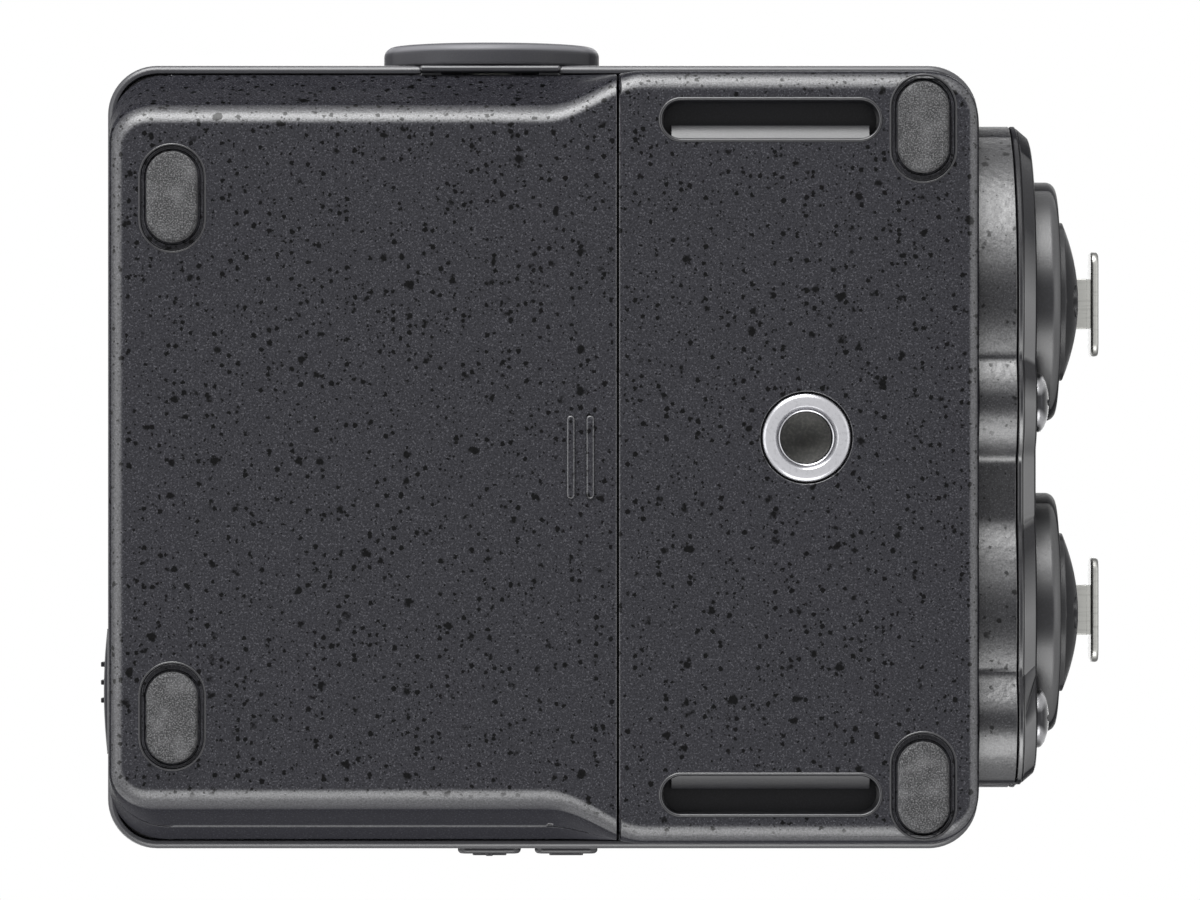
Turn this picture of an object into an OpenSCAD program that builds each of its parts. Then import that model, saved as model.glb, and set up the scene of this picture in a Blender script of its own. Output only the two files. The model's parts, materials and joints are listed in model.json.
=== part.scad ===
// Compact two-input field recorder, lying on its four rubber feet.
// +X points out of the connector end, +Z is the display side, -Y is the dial side.
// The origin is under the middle of the whole object, on the table.

/* [Case] */
// Length of the case without connectors and power knob
body_l = 87.2; // [86:0.2:100]
// Room between the battery bay and the inner side of the cover
side_room = 2.5; // [2.2:0.1:8.4]
// Height of the top face above the table
body_top = 43; // [43:0.5:52]
// Corner radius of the case in plan
corner_r = 5.3; // [4.4:0.1:8]
// Wall thickness of the upper case
wall = 2; // [1.8:0.1:2.4]
// Rounding between the top face and the sides
top_fillet = 3; // [2:0.1:4]
// Inset of the upper case at its lower rim
rim_inset = 0.75; // [0.4:0.05:0.9]
// Height of the side seam above the table
seam_z = 9; // [8.6:0.1:10]
// Width of the parting lines
seam_gap = 0.2; // [0.1:0.05:0.3]

/* [Underside] */
// Height of the flat underside above the table
foot_proud = 0.8; // [0.5:0.1:1.2]
// Thickness of the underside mouldings
tray_wall = 1.8; // [1.6:0.1:2]
// Fillet around the raised underside
platform_fillet = 1.6; // [1.2:0.1:1.7]
// Corner radius of the raised underside
platform_r = 4; // [3:0.1:5]
// Inset of the raised underside from the case side, over the batteries
cover_step = 5; // [4.6:0.1:5.2]
// Inset of the raised underside from the case side, at the connector end
case_step = 1.4; // [1.3:0.1:1.8]
// Inset of the side crease over the batteries
crease_step = 2.8; // [2.4:0.1:3.2]
// Height of the side crease above the table
crease_z = 6.2; // [5.6:0.1:7]
// Inset of the underside rim at the side seam
tray_step = 1.2; // [1.1:0.05:1.3]
// Inset of the underside rim at both ends
tray_end = 0.85; // [0.8:0.05:0.95]
// Inset of the raised underside at both ends
end_step = 0.95; // [0.9:0.05:1.2]
// Length of the S-shaped flare of the raised underside
flare_l = 9.7; // [7:0.1:12]
// How far the flare runs past the cover seam
flare_past = 2.6; // [1.5:0.1:4]

/* [Feet] */
// Length of a rubber foot
foot_l = 8.9; // [7:0.1:10]
// Width of a rubber foot
foot_w = 5; // [4:0.1:6]
// Depth of the pocket that holds a foot
foot_pocket = 0.8; // [0.5:0.1:0.9]
// Width of the moat around a foot
foot_moat = 0.55; // [0.4:0.05:0.6]
// Depth of the moat around a foot
moat_depth = 0.6; // [0.5:0.05:0.65]
// Distance of the cover feet from the case end
cover_foot_end = 7.5; // [7:0.1:9]
// Distance of the cover feet from the case side
cover_foot_side = 13.7; // [12:0.1:16]
// Distance of the connector end feet from the case end
case_foot_end = 6.4; // [6.2:0.1:7]
// Distance of the connector end feet from the case side
case_foot_side = 6.9; // [6.8:0.1:7.4]

/* [Strap recesses] */
// Length of a strap recess
strap_l = 21.6; // [16:0.1:22]
// Width of a strap recess
strap_w = 4.1; // [3:0.1:4.4]
// Depth of a strap recess
strap_depth = 3.2; // [2:0.1:4]
// Width of the ramp on the inner wall of a strap recess
strap_ramp = 1.1; // [0.6:0.1:1.4]
// Distance of the strap recess from the case side
strap_side = 6.1; // [6:0.1:6.6]
// Distance of the strap recess centre from the connector end
strap_end = 21.3; // [20.5:0.1:22]

/* [Tripod socket] */
// Outer diameter of the metal insert
insert_d = 8.66; // [8:0.01:10]
// Bore of the insert, for a quarter inch tripod screw
tripod_d = 5.2; // [5:0.05:5.6]
// Mouth diameter of the insert's countersink
tripod_mouth = 6; // [5.7:0.1:6.4]
// Length of the insert
insert_l = 7.6; // [6:0.1:8]
// Distance of the insert from the connector end
tripod_end = 17.8; // [16:0.1:19]
// Offset of the insert from the middle, towards the dial side
tripod_side = 1.9; // [0:0.1:2.4]

/* [Batteries] */
// Diameter of a cell
cell_d = 14.5; // [13.8:0.1:14.6]
// Length of a cell without its button
cell_l = 49.2; // [47:0.1:49.4]
// Diameter of the button of a cell
button_d = 5.5; // [4.5:0.1:6]
// Height of the button of a cell
button_h = 1.3; // [1:0.1:1.4]
// Gap beside each cell
cell_gap = 0.5; // [0.3:0.05:0.6]
// Number of cells side by side
cells = 3; // [3:1:3]
// Thickness of the bay walls
bay_wall = 1.4; // [1.2:0.1:1.5]
// Gap between the bay and the end wall of the cover
bay_room = 1.05; // [0.9:0.05:1.2]
// Wire diameter of a contact spring
spring_wire = 0.6; // [0.5:0.05:0.7]
// Length of a contact spring
spring_l = 4.3; // [4:0.1:4.6]
// Turns of a contact spring
spring_turns = 3; // [2:1:3]
// Radius of a contact spring at its plate
spring_r1 = 4; // [3.5:0.1:4.5]
// Radius of a contact spring at the cell
spring_r2 = 2.6; // [2.2:0.1:3]
// Thickness of the contact plates
plate_t = 0.4; // [0.3:0.05:0.5]
// Height of the bump that meets a cell's button
bump_h = 1; // [0.8:0.1:1.2]

/* [Inputs] */
// Distance between the two input sockets
xlr_pitch = 31.2; // [31:0.1:34]
// Height of the input sockets above the table
xlr_z = 22.5; // [22.5:0.1:24]
// Outer diameter of a socket's shell
xlr_d = 24; // [23:0.1:24.4]
// Inner diameter of a socket's shell
xlr_bore = 19.2; // [18.8:0.1:19.4]
// Diameter of a socket's insert
xlr_core = 15.9; // [15:0.1:16.2]
// Radius of the collar around a socket
collar_r = 17.2; // [17:0.1:18]
// Thickness of the collar
collar_t = 3.9; // [3:0.1:5]
// Thickness of the connector plate
plate_x = 2; // [1.8:0.1:3]
// Chamfer of the connector plate
plate_chamfer = 1.5; // [1:0.1:1.6]
// How far the shell's ring stands out of the plate
ring_out = 2.4; // [2:0.1:3]
// How far the domed insert stands out of the ring
dome_out = 1.7; // [1.2:0.1:2.2]
// How far the latch tab stands out of the dome
tab_out = 2.9; // [2:0.1:3.5]
// Width of the latch tab
tab_w = 10.7; // [8:0.1:12]
// Thickness of the latch sheet
latch_t = 0.8; // [0.6:0.05:0.9]
// Width of the latch stem
stem_w = 5.1; // [4:0.1:5.4]
// Sideways offset of a plate screw from its socket
screw_y = 10.2; // [10:0.1:10.6]
// Height offset of a plate screw from its socket
screw_z = 11.5; // [11.3:0.1:11.8]
// Head diameter of a plate screw
screw_head = 5.95; // [5:0.05:6]
// Radius of the ears that carry the plate screws
ear_r = 6.6; // [6:0.1:7]

/* [Dial] */
// Diameter of the dial
dial_d = 21.5; // [19:0.1:22]
// How far the dial stands out of the case side
dial_proud = 2.4; // [1.8:0.1:3]
// Distance of the dial from the power end
dial_end = 38.4; // [37:0.1:40]
// Height of the dial above the table
dial_z = 19.25; // [19:0.05:20]
// Width of the bezel around the dial
bezel_w = 0.95; // [0.7:0.05:1.2]
// Gap between dial and bezel
dial_gap = 0.35; // [0.3:0.05:0.5]
// Diameter of the dial shaft
shaft_d = 6; // [5:0.1:6.4]
// Running clearance of the shaft
shaft_clear = 0.05; // [0.03:0.01:0.08]

/* [Keys] */
// How far the top keys stand out of the top face
key_proud = 0.8; // [0.5:0.1:1.2]
// Travel of the top keys
key_travel = 0.4; // [0.3:0.05:0.5]
// Gap around a key
key_gap = 0.3; // [0.25:0.05:0.4]
// Length of a rectangular key
key_l = 7; // [6:0.1:7.4]
// Width of a rectangular key
key_w = 9.5; // [8:0.1:10]
// Diameter of a round transport key
round_key_d = 13; // [11:0.1:13.4]
// Distance between function keys
key_pitch = 12.6; // [12:0.1:13.4]
// Distance of the function keys from the power end
function_end = 39.8; // [39:0.1:40.5]
// Distance of the two menu keys from the power end
menu_end = 28.6; // [28:0.1:29]
// Distance of the transport keys from the power end
transport_end = 14.6; // [13.5:0.1:15.2]
// Distance between transport keys
transport_pitch = 19.5; // [17:0.1:20]
// Width of a volume key
volume_w = 6.3; // [5.5:0.1:6.4]
// Height of a volume key
volume_h = 5; // [4:0.1:6]
// How far a volume key stands out of the case side
volume_proud = 0.85; // [0.7:0.05:1.2]
// Travel of a volume key
volume_travel = 0.4; // [0.3:0.05:0.5]
// Distance between the volume keys
volume_pitch = 7.7; // [7.6:0.1:8.4]
// Distance of the volume keys' middle from the power end
volume_end = 42; // [41:0.1:43]
// Height of the side controls above the table
side_z = 22; // [21.8:0.1:22.4]

/* [Power slider] */
// Length of the raised boss around the power knob
boss_l = 12.4; // [11.6:0.1:13]
// How far the boss stands out of the case end
boss_out = 0.35; // [0.2:0.05:0.5]
// Distance of the boss from the middle
boss_y = 23.4; // [22:0.1:24]
// Length of the power knob
knob_l = 6.4; // [6:0.1:7]
// Height of the power knob
knob_h = 4; // [3.4:0.1:4.4]
// How far the knob's ribs stand out of the boss
knob_rib = 0.45; // [0.3:0.05:0.6]
// Distance between the knob's ribs
knob_pitch = 1.8; // [1.4:0.1:2]
// Rest position of the knob, from the middle of the boss
knob_rest = -0.8; // [-1.2:0.1:0]
// Travel of the knob to each side of the boss middle
knob_reach = 2; // [1.6:0.1:2.2]

/* [Display] */
// Gap between the function keys and the display window
window_gap = 4.8; // [4.8:0.1:7]
// Width of the display window
window_w = 56; // [50:0.5:58]
// Distance of the display window from the connector end
window_edge = 5.1; // [4.5:0.1:7.1]
// Thickness of the display window
window_t = 1.2; // [1:0.1:1.4]
// Width of the ledge that carries the window
window_ledge = 1.8; // [1.2:0.1:2.2]
// Thickness of the display module
display_t = 3.2; // [2.8:0.1:3.4]

/* [Sockets and card door] */
// Bore of the audio jacks
jack_d = 3.55; // [3.5:0.01:3.6]
// Gap between the input board and the jack next to it
jack_gap = 1.1; // [0.9:0.1:1.5]
// Distance between the two jacks on the key side
jack_pitch = 7; // [6.2:0.1:8]
// Sideways place of the power port
usb_y = -22; // [-24:0.1:-20]
// Width of the power port
usb_w = 9; // [8.8:0.1:9.4]
// Height of the power port
usb_h = 3.3; // [3.2:0.05:3.6]
// Width of the card door
door_w = 15; // [14:0.1:17]
// Height of the card door
door_h = 7.4; // [7:0.1:8]
// Thickness of the card door
door_t = 1.4; // [1.2:0.05:1.5]
// Height of the door's hinge above the table
door_z = 23.4; // [23:0.1:24]
// Radius of the door's rolled hinge edge
door_roll = 1.1; // [1:0.05:1.2]
// Diameter of the door's hinge pin
door_pin_d = 1; // [0.8:0.05:1.1]
// Sideways place of the card door
door_y = 0; // [-1:0.1:1]

/* [Inside] */
// Thickness of a circuit board
board_t = 1.6; // [1.2:0.1:1.8]
// Diameter of a case screw
case_screw_d = 2.5; // [2:0.1:3]
// Head diameter of a case screw
case_screw_head = 4.4; // [4:0.1:4.8]
// General clearance between pieces that don't touch
clear = 0.3; // [0.25:0.05:0.4]
// Fit clearance between pieces of the same body
fit = 0.05; // [0.03:0.01:0.08]

/* [Hidden] */
$fn = 48;

arc_n = 6;
flare_n = 9;
eps = 0.01;
lap = 0.4;

// Battery bay across, which sets the width of the case
bay_half = (cell_l + button_h + spring_l + bump_h) / 2 + plate_t + 2 * fit;
bay_out = bay_half + bay_wall;
body_w = 2 * (bay_out + side_room + tray_wall + cover_step);

// Case planes
hl = body_l / 2;
hw = body_w / 2;
in_l = body_l - 2 * wall;
in_w = body_w - 2 * wall;
ceil_z = body_top - wall;
top_z0 = seam_z + seam_gap;
floor_z = foot_proud + tray_wall;

// Battery bay, from the power end towards the connectors
bay_x0 = -hl + end_step + tray_wall + bay_room + bay_wall;
bay_l = cells * cell_d + (cells + 1) * cell_gap;
bay_x1 = bay_x0 + bay_l;
cell_z = floor_z + clear + fit + cell_d / 2;
bay_top = cell_z + cell_d / 2 + clear;
deck_z = bay_top + bay_wall;
seam_x = bay_x1 + clear;
flare_x1 = seam_x + flare_past;
flare_x0 = flare_x1 - flare_l;
rail_z = crease_z - 0.8;
rail_t = 1.2;
rail_reach = 3.4;

// Feet, strap recesses and tripod socket
cover_foot = [-hl + cover_foot_end, hw - cover_foot_side];
case_foot = [hl - case_foot_end, hw - case_foot_side];
strap_x = hl - strap_end;
strap_y = hw - strap_side;
tripod_x = hl - tripod_end;
insert_proud = 0.1;

// Input sockets, from the case end outwards
panel_x = hl;
plate_x0 = panel_x + collar_t + seam_gap / 2;
plate_x1 = plate_x0 + plate_x;
ring_x = plate_x1 + ring_out;
dome_x = ring_x + dome_out;
tab_x1 = dome_x + tab_out;
barrel_l = 22.5;
barrel_x = plate_x1 - barrel_l;
back_t = 6;
latch_z = (xlr_bore / 2 + xlr_d / 2) / 2 - latch_t / 2 - 0.2;
pivot_x = barrel_x + back_t + 4;
knuckle_r = 1.5;
latch_pin_r = 0.8;
tab_h = 4.6;
slot_w = stem_w + 2 * clear;

// Dial on the -Y side
dial_x = -hl + dial_end;
dial_r = dial_d / 2;
bezel_ri = dial_r + dial_gap;
bezel_ro = bezel_ri + bezel_w;
dial_y1 = -hw - dial_proud;
dial_y0 = -hw + 0.6;
bezel_y0 = -hw - 0.15;
bezel_y1 = -hw + 0.95;
side_depth = 6.9;
side_board_y = hw - wall - side_depth;
side_board_t = 1;
encoder_y0 = side_board_y + side_board_t;
encoder_l = in_w / 2 - clear - encoder_y0;
encoder_s = 11;

// Keys on the top face
board_top = ceil_z - 3.8;
switch_h = 1.6;
flange_t = 0.8;
flange_w = 1;
stem_z = board_top + switch_h + key_travel + 0.1;
function_x = -hl + function_end;
menu_x = -hl + menu_end;
transport_x = -hl + transport_end;
window_l = body_l - function_end - key_l / 2 - window_gap - window_edge;
window_x = hl - window_edge - window_l / 2;
lamp_at = [transport_x, -transport_pitch / 2];
lamp_d = 2;

// Volume keys on the +Y side
volume_x = -hl + volume_end;
volume_in = in_w / 2 - fit;
volume_board_y = side_board_y;
volume_sw = volume_in - flange_t - volume_travel - 0.1;

// Boards
main_z = side_z + 2;
main_x0 = -hl + wall + 1.6;
input_x = barrel_x - 1 - board_t;
main_x1 = input_x - 1;
main_half = side_board_y - 0.2;
post_r = 2.5;
boss_r = 3;
deck_screw = [-hl + wall + 5.6, in_w / 2 - 3.4];

// Jacks
jack_s = 6;
jack2_x = input_x - jack_gap - jack_s / 2;
jack_x = jack2_x - jack_pitch;
jack_l = 11.5;
nose_d = 6;

// Card door in the power end
door_out = -hl;
hinge_x = door_out + door_roll;
door_pin_clear = 0.05;

// Whole object, for the origin
x_lo = -hl - boss_out - knob_rib;
x_hi = tab_x1;
y_lo = dial_y1;
y_hi = hw + volume_proud;

// Puts the origin under the middle of the whole object
module place() {
    translate([-(x_lo + x_hi) / 2, -(y_lo + y_hi) / 2, 0]) children();
}

// Points of an arc, a rounded rectangle and a round-ended slot
function arc(cx, cy, r, a0, a1, n = arc_n) =
    [for (i = [0:n]) let (a = a0 + (a1 - a0) * i / n) [cx + r * cos(a), cy + r * sin(a)]];
function rrect(lx, ly, r) = concat(
    arc(lx / 2 - r, ly / 2 - r, r, 0, 90),
    arc(r - lx / 2, ly / 2 - r, r, 90, 180),
    arc(r - lx / 2, r - ly / 2, r, 180, 270),
    arc(lx / 2 - r, r - ly / 2, r, 270, 360));
function stadium(l, w) = concat(
    arc(0, (l - w) / 2, w / 2, 0, 180, 2 * arc_n),
    arc(0, (w - l) / 2, w / 2, 180, 360, 2 * arc_n));
function at_z(pts, z) = [for (p = pts) [p[0], p[1], z]];
function backwards(pts) = [for (i = [len(pts) - 1:-1:0]) pts[i]];
function smooth(t) = let (u = min(1, max(0, t))) u * u * (3 - 2 * u);
function unit(v) = v / norm(v);

// Closed solid through rings of equal length, listed upwards
module loft(rings) {
    n = len(rings[0]);
    m = len(rings);
    sides = [for (k = [0:m - 2], i = [0:n - 1], half = [0, 1])
        let (j = (i + 1) % n, a = k * n, b = (k + 1) * n)
        half == 0 ? [a + i, b + i, b + j] : [a + i, b + j, a + j]];
    low = [for (i = [0:n - 1]) i];
    high = [for (i = [n - 1:-1:0]) (m - 1) * n + i];
    polyhedron([for (ring = rings) each ring], concat([low, high], sides));
}

// Prism of an outline between two heights
module prism(pts, z0, z1) {
    translate([0, 0, z0]) linear_extrude(z1 - z0) polygon(pts);
}

// Block between two corners
module block(a, b) {
    translate(a) cube(b - a);
}

// Children with their +Z axis turned along +X, +Y or -Y
module to_x(x, y, z) {
    translate([x, y, z]) rotate([0, 90, 0]) children();
}
module to_y(x, y, z) {
    translate([x, y, z]) rotate([-90, 0, 0]) children();
}
module to_minus_y(x, y, z) {
    translate([x, y, z]) rotate([90, 0, 0]) children();
}

// Plan of the underside: straight sides that flare by an S-curve near the cover seam
function tray_ring(z, narrow_step, wide_step, end, r) =
    let (narrow = hw - narrow_step, wide = hw - wide_step,
        flare = [for (i = [0:flare_n]) let (t = i / flare_n)
            [flare_x0 + flare_l * t, narrow + (wide - narrow) * smooth(t)]],
        half = concat(
            arc(-hl + end + r, narrow - r, r, 180, 90),
            flare,
            arc(hl - end - r, wide - r, r, 90, 0)))
    at_z(concat(backwards(half), [for (p = half) [p[0], -p[1]]]), z);

// The lofts run past the flat faces and the rim, which plane cuts then make
crease_case = (case_step + tray_step) / 2;
crease_end = (end_step + tray_end) / 2;
crease_r = platform_r + 0.3;
rim_r = corner_r - rim_inset;
past = 0.6;
function beyond(rim, crease) = rim + (rim - crease) * past / (seam_z - crease_z);
function below(low, high) = low + (low - high) * past / (crease_z - floor_z);
first_turn = 18;
first_in = 1.7 * platform_fillet;
fillet_rings = [for (a = [first_turn:24:90])
    [platform_fillet * (1 - cos(a)), platform_fillet * (1 - sin(a))]];
outside_rings = concat(
    [for (f = concat([[-past / 3, first_in]], fillet_rings))
        tray_ring(foot_proud + f[0], cover_step + f[1], case_step + f[1], end_step + f[1],
            platform_r - f[1])],
    [tray_ring(crease_z, crease_step, crease_case, crease_end, crease_r),
        tray_ring(seam_z + past, beyond(tray_step, crease_step), beyond(tray_step, crease_case),
            beyond(tray_end, crease_end), beyond(rim_r, crease_r))]);
inside_r = platform_r - 1;
inside_rings = [
    tray_ring(floor_z - past, below(cover_step, crease_step) + tray_wall,
        below(case_step, crease_case) + tray_wall, below(end_step, crease_end) + tray_wall, inside_r),
    tray_ring(crease_z, crease_step + tray_wall, crease_case + tray_wall, crease_end + tray_wall,
        inside_r),
    tray_ring(seam_z + 2 * past, tray_step + tray_wall, tray_step + tray_wall, tray_end + tray_wall,
        inside_r)];
module tray_outside() {
    intersection() {
        loft(outside_rings);
        block([-body_l, -body_w, foot_proud], [body_l, body_w, seam_z]);
    }
}
module tray_inside() {
    intersection() {
        loft(inside_rings);
        block([-body_l, -body_w, floor_z], [body_l, body_w, seam_z + past]);
    }
}

// Everything on one side of a plane across X
module left_of(x) {
    block([-2 * body_l, -body_w, -body_top], [x, body_w, 2 * body_top]);
}
module right_of(x) {
    block([x, -body_w, -body_top], [2 * body_l, body_w, 2 * body_top]);
}

// Pocket and moat of one foot
module foot_pocket_at(p) {
    translate([p[0], p[1], 0]) {
        prism(stadium(foot_l + 2 * fit, foot_w + 2 * fit), foot_proud - 1, foot_proud + foot_pocket);
        prism(stadium(foot_l + 2 * foot_moat, foot_w + 2 * foot_moat), foot_proud - 1,
            foot_proud + moat_depth);
    }
}

// Sliding battery cover: underside tray with open end, inner tongues and two grip ribs
tongue_in = bay_out + rail_reach - 0.8;
tongue_z0 = rail_z + rail_t + clear;
tongue_z1 = seam_z - 0.4;
grip_l = 8.2;
grip_w = 0.85;
grip_h = 0.3;
grip_near = 2.7;
grip_pitch = 1.9;
module battery_cover() {
    color("#3e3e42") difference() {
        union() {
            difference() {
                intersection() {
                    tray_outside();
                    left_of(seam_x - seam_gap / 2);
                }
                tray_inside();
            }
            for (s = [-1, 1]) mirror([0, s < 0 ? 1 : 0, 0])
                block([bay_x0, tongue_in, tongue_z0], [flare_x0 - 1, hw - crease_step - 0.5, tongue_z1]);
            for (k = [0, 1])
                translate([seam_x - grip_near - k * grip_pitch, 0, 0])
                    prism(rrect(grip_w, grip_l, grip_w / 3), foot_proud - grip_h, foot_proud + 0.5);
        }
        for (s = [-1, 1]) foot_pocket_at([cover_foot[0], s * cover_foot[1]]);
    }
}

// Rubber feet
module foot_at(p) {
    translate([p[0], p[1], 0])
        prism(stadium(foot_l, foot_w), 0, foot_proud + foot_pocket);
}
module cover_feet() {
    color("#646464") for (s = [-1, 1]) foot_at([cover_foot[0], s * cover_foot[1]]);
}
module case_feet() {
    color("#646464") for (s = [-1, 1]) foot_at([case_foot[0], s * case_foot[1]]);
}

// Strap recess: round-ended slot with a ramp left standing on its inner wall
module strap_recess() {
    mouth = foot_proud - 1;
    bottom = foot_proud + strap_depth;
    inner = strap_y - strap_w / 2;
    difference() {
        translate([strap_x, strap_y, 0]) rotate(90) prism(stadium(strap_l, strap_w), mouth, bottom);
        translate([strap_x - strap_l, 0, 0]) rotate([90, 0, 90]) linear_extrude(2 * strap_l)
            polygon([[inner - 1, foot_proud], [inner, foot_proud], [inner + strap_ramp, bottom + 1],
                [inner - 1, bottom + 1]]);
    }
}

// Fixed underside with the battery bay, the deck above it and all bosses
strap_skin = 1.2;
deck_gap = 0.2;
deck_x0 = -hl + wall + deck_gap;
bulk_x1 = seam_x + seam_gap / 2 + tray_wall;
bay_z0 = floor_z + clear;
head_t = 2;
post_at = [[main_x0 + 4, 12], [main_x1 - 4, 12]];
foot_boss_r = 2.75;
foot_boss_top = seam_z - 1;
insert_boss = 1.6;
module bay_walls() {
    bay_x = bay_x0 - bay_wall;
    bay_end = bulk_x1 - lap;
    difference() {
        translate([(bay_x + bay_end) / 2, 0, 0])
            prism(rrect(bay_end - bay_x, 2 * bay_out, 2), bay_z0, bay_top + lap);
        block([bay_x0, -bay_half, bay_z0 - 1], [bay_x1, bay_half, deck_z]);
    }
    for (s = [-1, 1]) mirror([0, s < 0 ? 1 : 0, 0])
        block([bay_x0, bay_out - lap, rail_z], [flare_x0, bay_out + rail_reach, rail_z + rail_t]);
}
module deck() {
    side_cut_w = 2 * encoder_s;
    difference() {
        translate([(deck_x0 + main_x1) / 2, 0, 0])
            prism(rrect(main_x1 - deck_x0, in_w - 2 * deck_gap, corner_r - wall), bay_top, deck_z);
        block([dial_x - side_cut_w / 2, -hw, bay_top - 1],
            [dial_x + side_cut_w / 2, -bay_out, deck_z + 1]);
        block([volume_x - side_cut_w / 2, bay_out, bay_top - 1],
            [volume_x + side_cut_w / 2, hw, deck_z + 1]);
        for (s = [-1, 1])
            translate([deck_screw[0], s * deck_screw[1], bay_top - 1])
                cylinder(h = bay_wall + 2, d = case_screw_d + 2 * fit);
    }
    for (p = post_at, s = [-1, 1])
        translate([p[0], s * p[1], deck_z - lap]) cylinder(h = main_z - deck_z - fit + lap, r = post_r);
}
module bottom_case() {
    color("#3e3e42") difference() {
        union() {
            difference() {
                intersection() {
                    tray_outside();
                    right_of(seam_x + seam_gap / 2);
                }
                intersection() {
                    tray_inside();
                    right_of(bulk_x1);
                }
            }
            bay_walls();
            deck();
            for (s = [-1, 1]) {
                translate([strap_x, s * strap_y, 0]) rotate(90)
                    prism(stadium(strap_l + 2 * strap_skin, strap_w + 2 * strap_skin),
                        foot_proud + 0.5, foot_proud + strap_depth + strap_skin);
                translate([case_foot[0], s * case_foot[1], floor_z - 0.5])
                    cylinder(h = foot_boss_top - floor_z + 0.5, r = foot_boss_r);
            }
            translate([tripod_x, -tripod_side, floor_z - 0.5])
                cylinder(h = foot_proud + insert_l + 1 - floor_z + 0.5, d = insert_d + 2 * insert_boss);
        }
        for (s = [-1, 1]) {
            mirror([0, s < 0 ? 1 : 0, 0]) strap_recess();
            foot_pocket_at([case_foot[0], s * case_foot[1]]);
            translate([case_foot[0], s * case_foot[1], foot_proud + foot_pocket - eps])
                cylinder(h = head_t + eps, d = case_screw_head + 4 * fit);
            translate([case_foot[0], s * case_foot[1], foot_proud])
                cylinder(h = seam_z, d = case_screw_d + 2 * fit);
        }
        translate([tripod_x, -tripod_side, foot_proud - 1])
            cylinder(h = insert_l + 1, d = insert_d + 2 * fit);
    }
}

// Threaded tripod insert with a countersunk mouth
module tripod_insert() {
    mouth_h = (tripod_mouth - tripod_d) / 2;
    color("#d8d8d8") translate([tripod_x, -tripod_side, foot_proud - insert_proud]) difference() {
        cylinder(h = insert_l, d = insert_d);
        translate([0, 0, -1]) cylinder(h = insert_l + 2, d = tripod_d);
        translate([0, 0, -eps]) cylinder(h = mouth_h + eps, d1 = tripod_mouth, d2 = tripod_d);
    }
}

// Places of the rectangular and round keys on the top face
function function_key_at(i) = [function_x, (i - 2.5) * key_pitch];
home_at = [menu_x, -1.5 * key_pitch];
menu_at = [menu_x, 1.5 * key_pitch];
function transport_at(k) = [transport_x, k * transport_pitch];
flat_keys = concat([for (i = [1:4]) function_key_at(i)], [home_at, menu_at]);
round_keys = [for (k = [-1:1]) transport_at(k)];
key_r = 1.5;
key_post_end = 8.5;
key_post_side = 11.6;
key_post_shift = [2, 1];
key_post_at = [[-hl + key_post_end, hw - key_post_side],
    [function_x + key_post_shift[0], hw - key_post_side + key_post_shift[1]]];
key_post_r = 1.8;

// Openings of the upper case
module key_openings() {
    for (p = flat_keys) translate([p[0], p[1], 0])
        prism(rrect(key_l + 2 * key_gap, key_w + 2 * key_gap, key_r), ceil_z - 1, body_top + 1);
    for (p = round_keys) translate([p[0], p[1], ceil_z - 1])
        cylinder(h = wall + 2, d = round_key_d + 2 * key_gap);
    translate([lamp_at[0], lamp_at[1], ceil_z - 1]) cylinder(h = wall + 2, d = lamp_d + 2 * fit);
    translate([window_x, 0, 0]) {
        prism(rrect(window_l + 4 * fit, window_w + 4 * fit, 2), body_top - window_t, body_top + 1);
        prism(rrect(window_l - 2 * window_ledge, window_w - 2 * window_ledge, 1), ceil_z - 1, body_top);
    }
}
module side_openings() {
    to_minus_y(dial_x, -hw + wall + 1, dial_z) cylinder(h = wall + 2, r = bezel_ro + fit);
    for (s = [-1, 1])
        to_y(volume_x + s * volume_pitch / 2, hw - wall - 1, side_z)
            prism(rrect(volume_w + 2 * key_gap, volume_h + 2 * key_gap, 1), 0, wall + 2);
    to_minus_y(jack_x, -hw + wall + 1, jack_z) cylinder(h = wall + 2, d = nose_d + 2 * fit);
    for (x = [jack_x, jack2_x])
        to_y(x, hw - wall - 1, jack_z) cylinder(h = wall + 2, d = nose_d + 2 * fit);
}
module end_openings() {
    slot_l = knob_l + 2 * knob_reach + 2 * clear;
    slot_h = knob_h + 2 * clear;
    door_gap = door_w + 2 * clear;
    door_z0 = door_z - door_roll;
    block([-hl - 2, boss_y - slot_l / 2, side_z - slot_h / 2],
        [-hl + wall + 1, boss_y + slot_l / 2, side_z + slot_h / 2]);
    to_x(-hl - 1, usb_y, usb_z)
        prism(rrect(usb_h + 4 * fit, usb_w + 4 * fit, usb_h / 2 - fit), 0, wall + 2);
    block([-hl - 1, door_y - door_gap / 2, door_z0 - clear],
        [-hl + wall + 1, door_y + door_gap / 2, door_z0 + door_h + clear]);
    to_y(hinge_x, door_y - door_pin_l / 2 - fit, door_z)
        cylinder(h = door_pin_l + 2 * fit, d = door_pin_d + 2 * fit);
    for (c = [-1, 1]) {
        to_x(hl - wall - 1, c * xlr_pitch / 2, xlr_z) cylinder(h = wall + 2, d = xlr_d + 4 * fit);
        for (s = [-1, 1])
            to_x(hl - wall - 1, c * xlr_pitch / 2 + s * screw_y, xlr_z - s * screw_z)
                cylinder(h = wall + 2, d = screw_shank + 4 * fit);
    }
}

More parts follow.
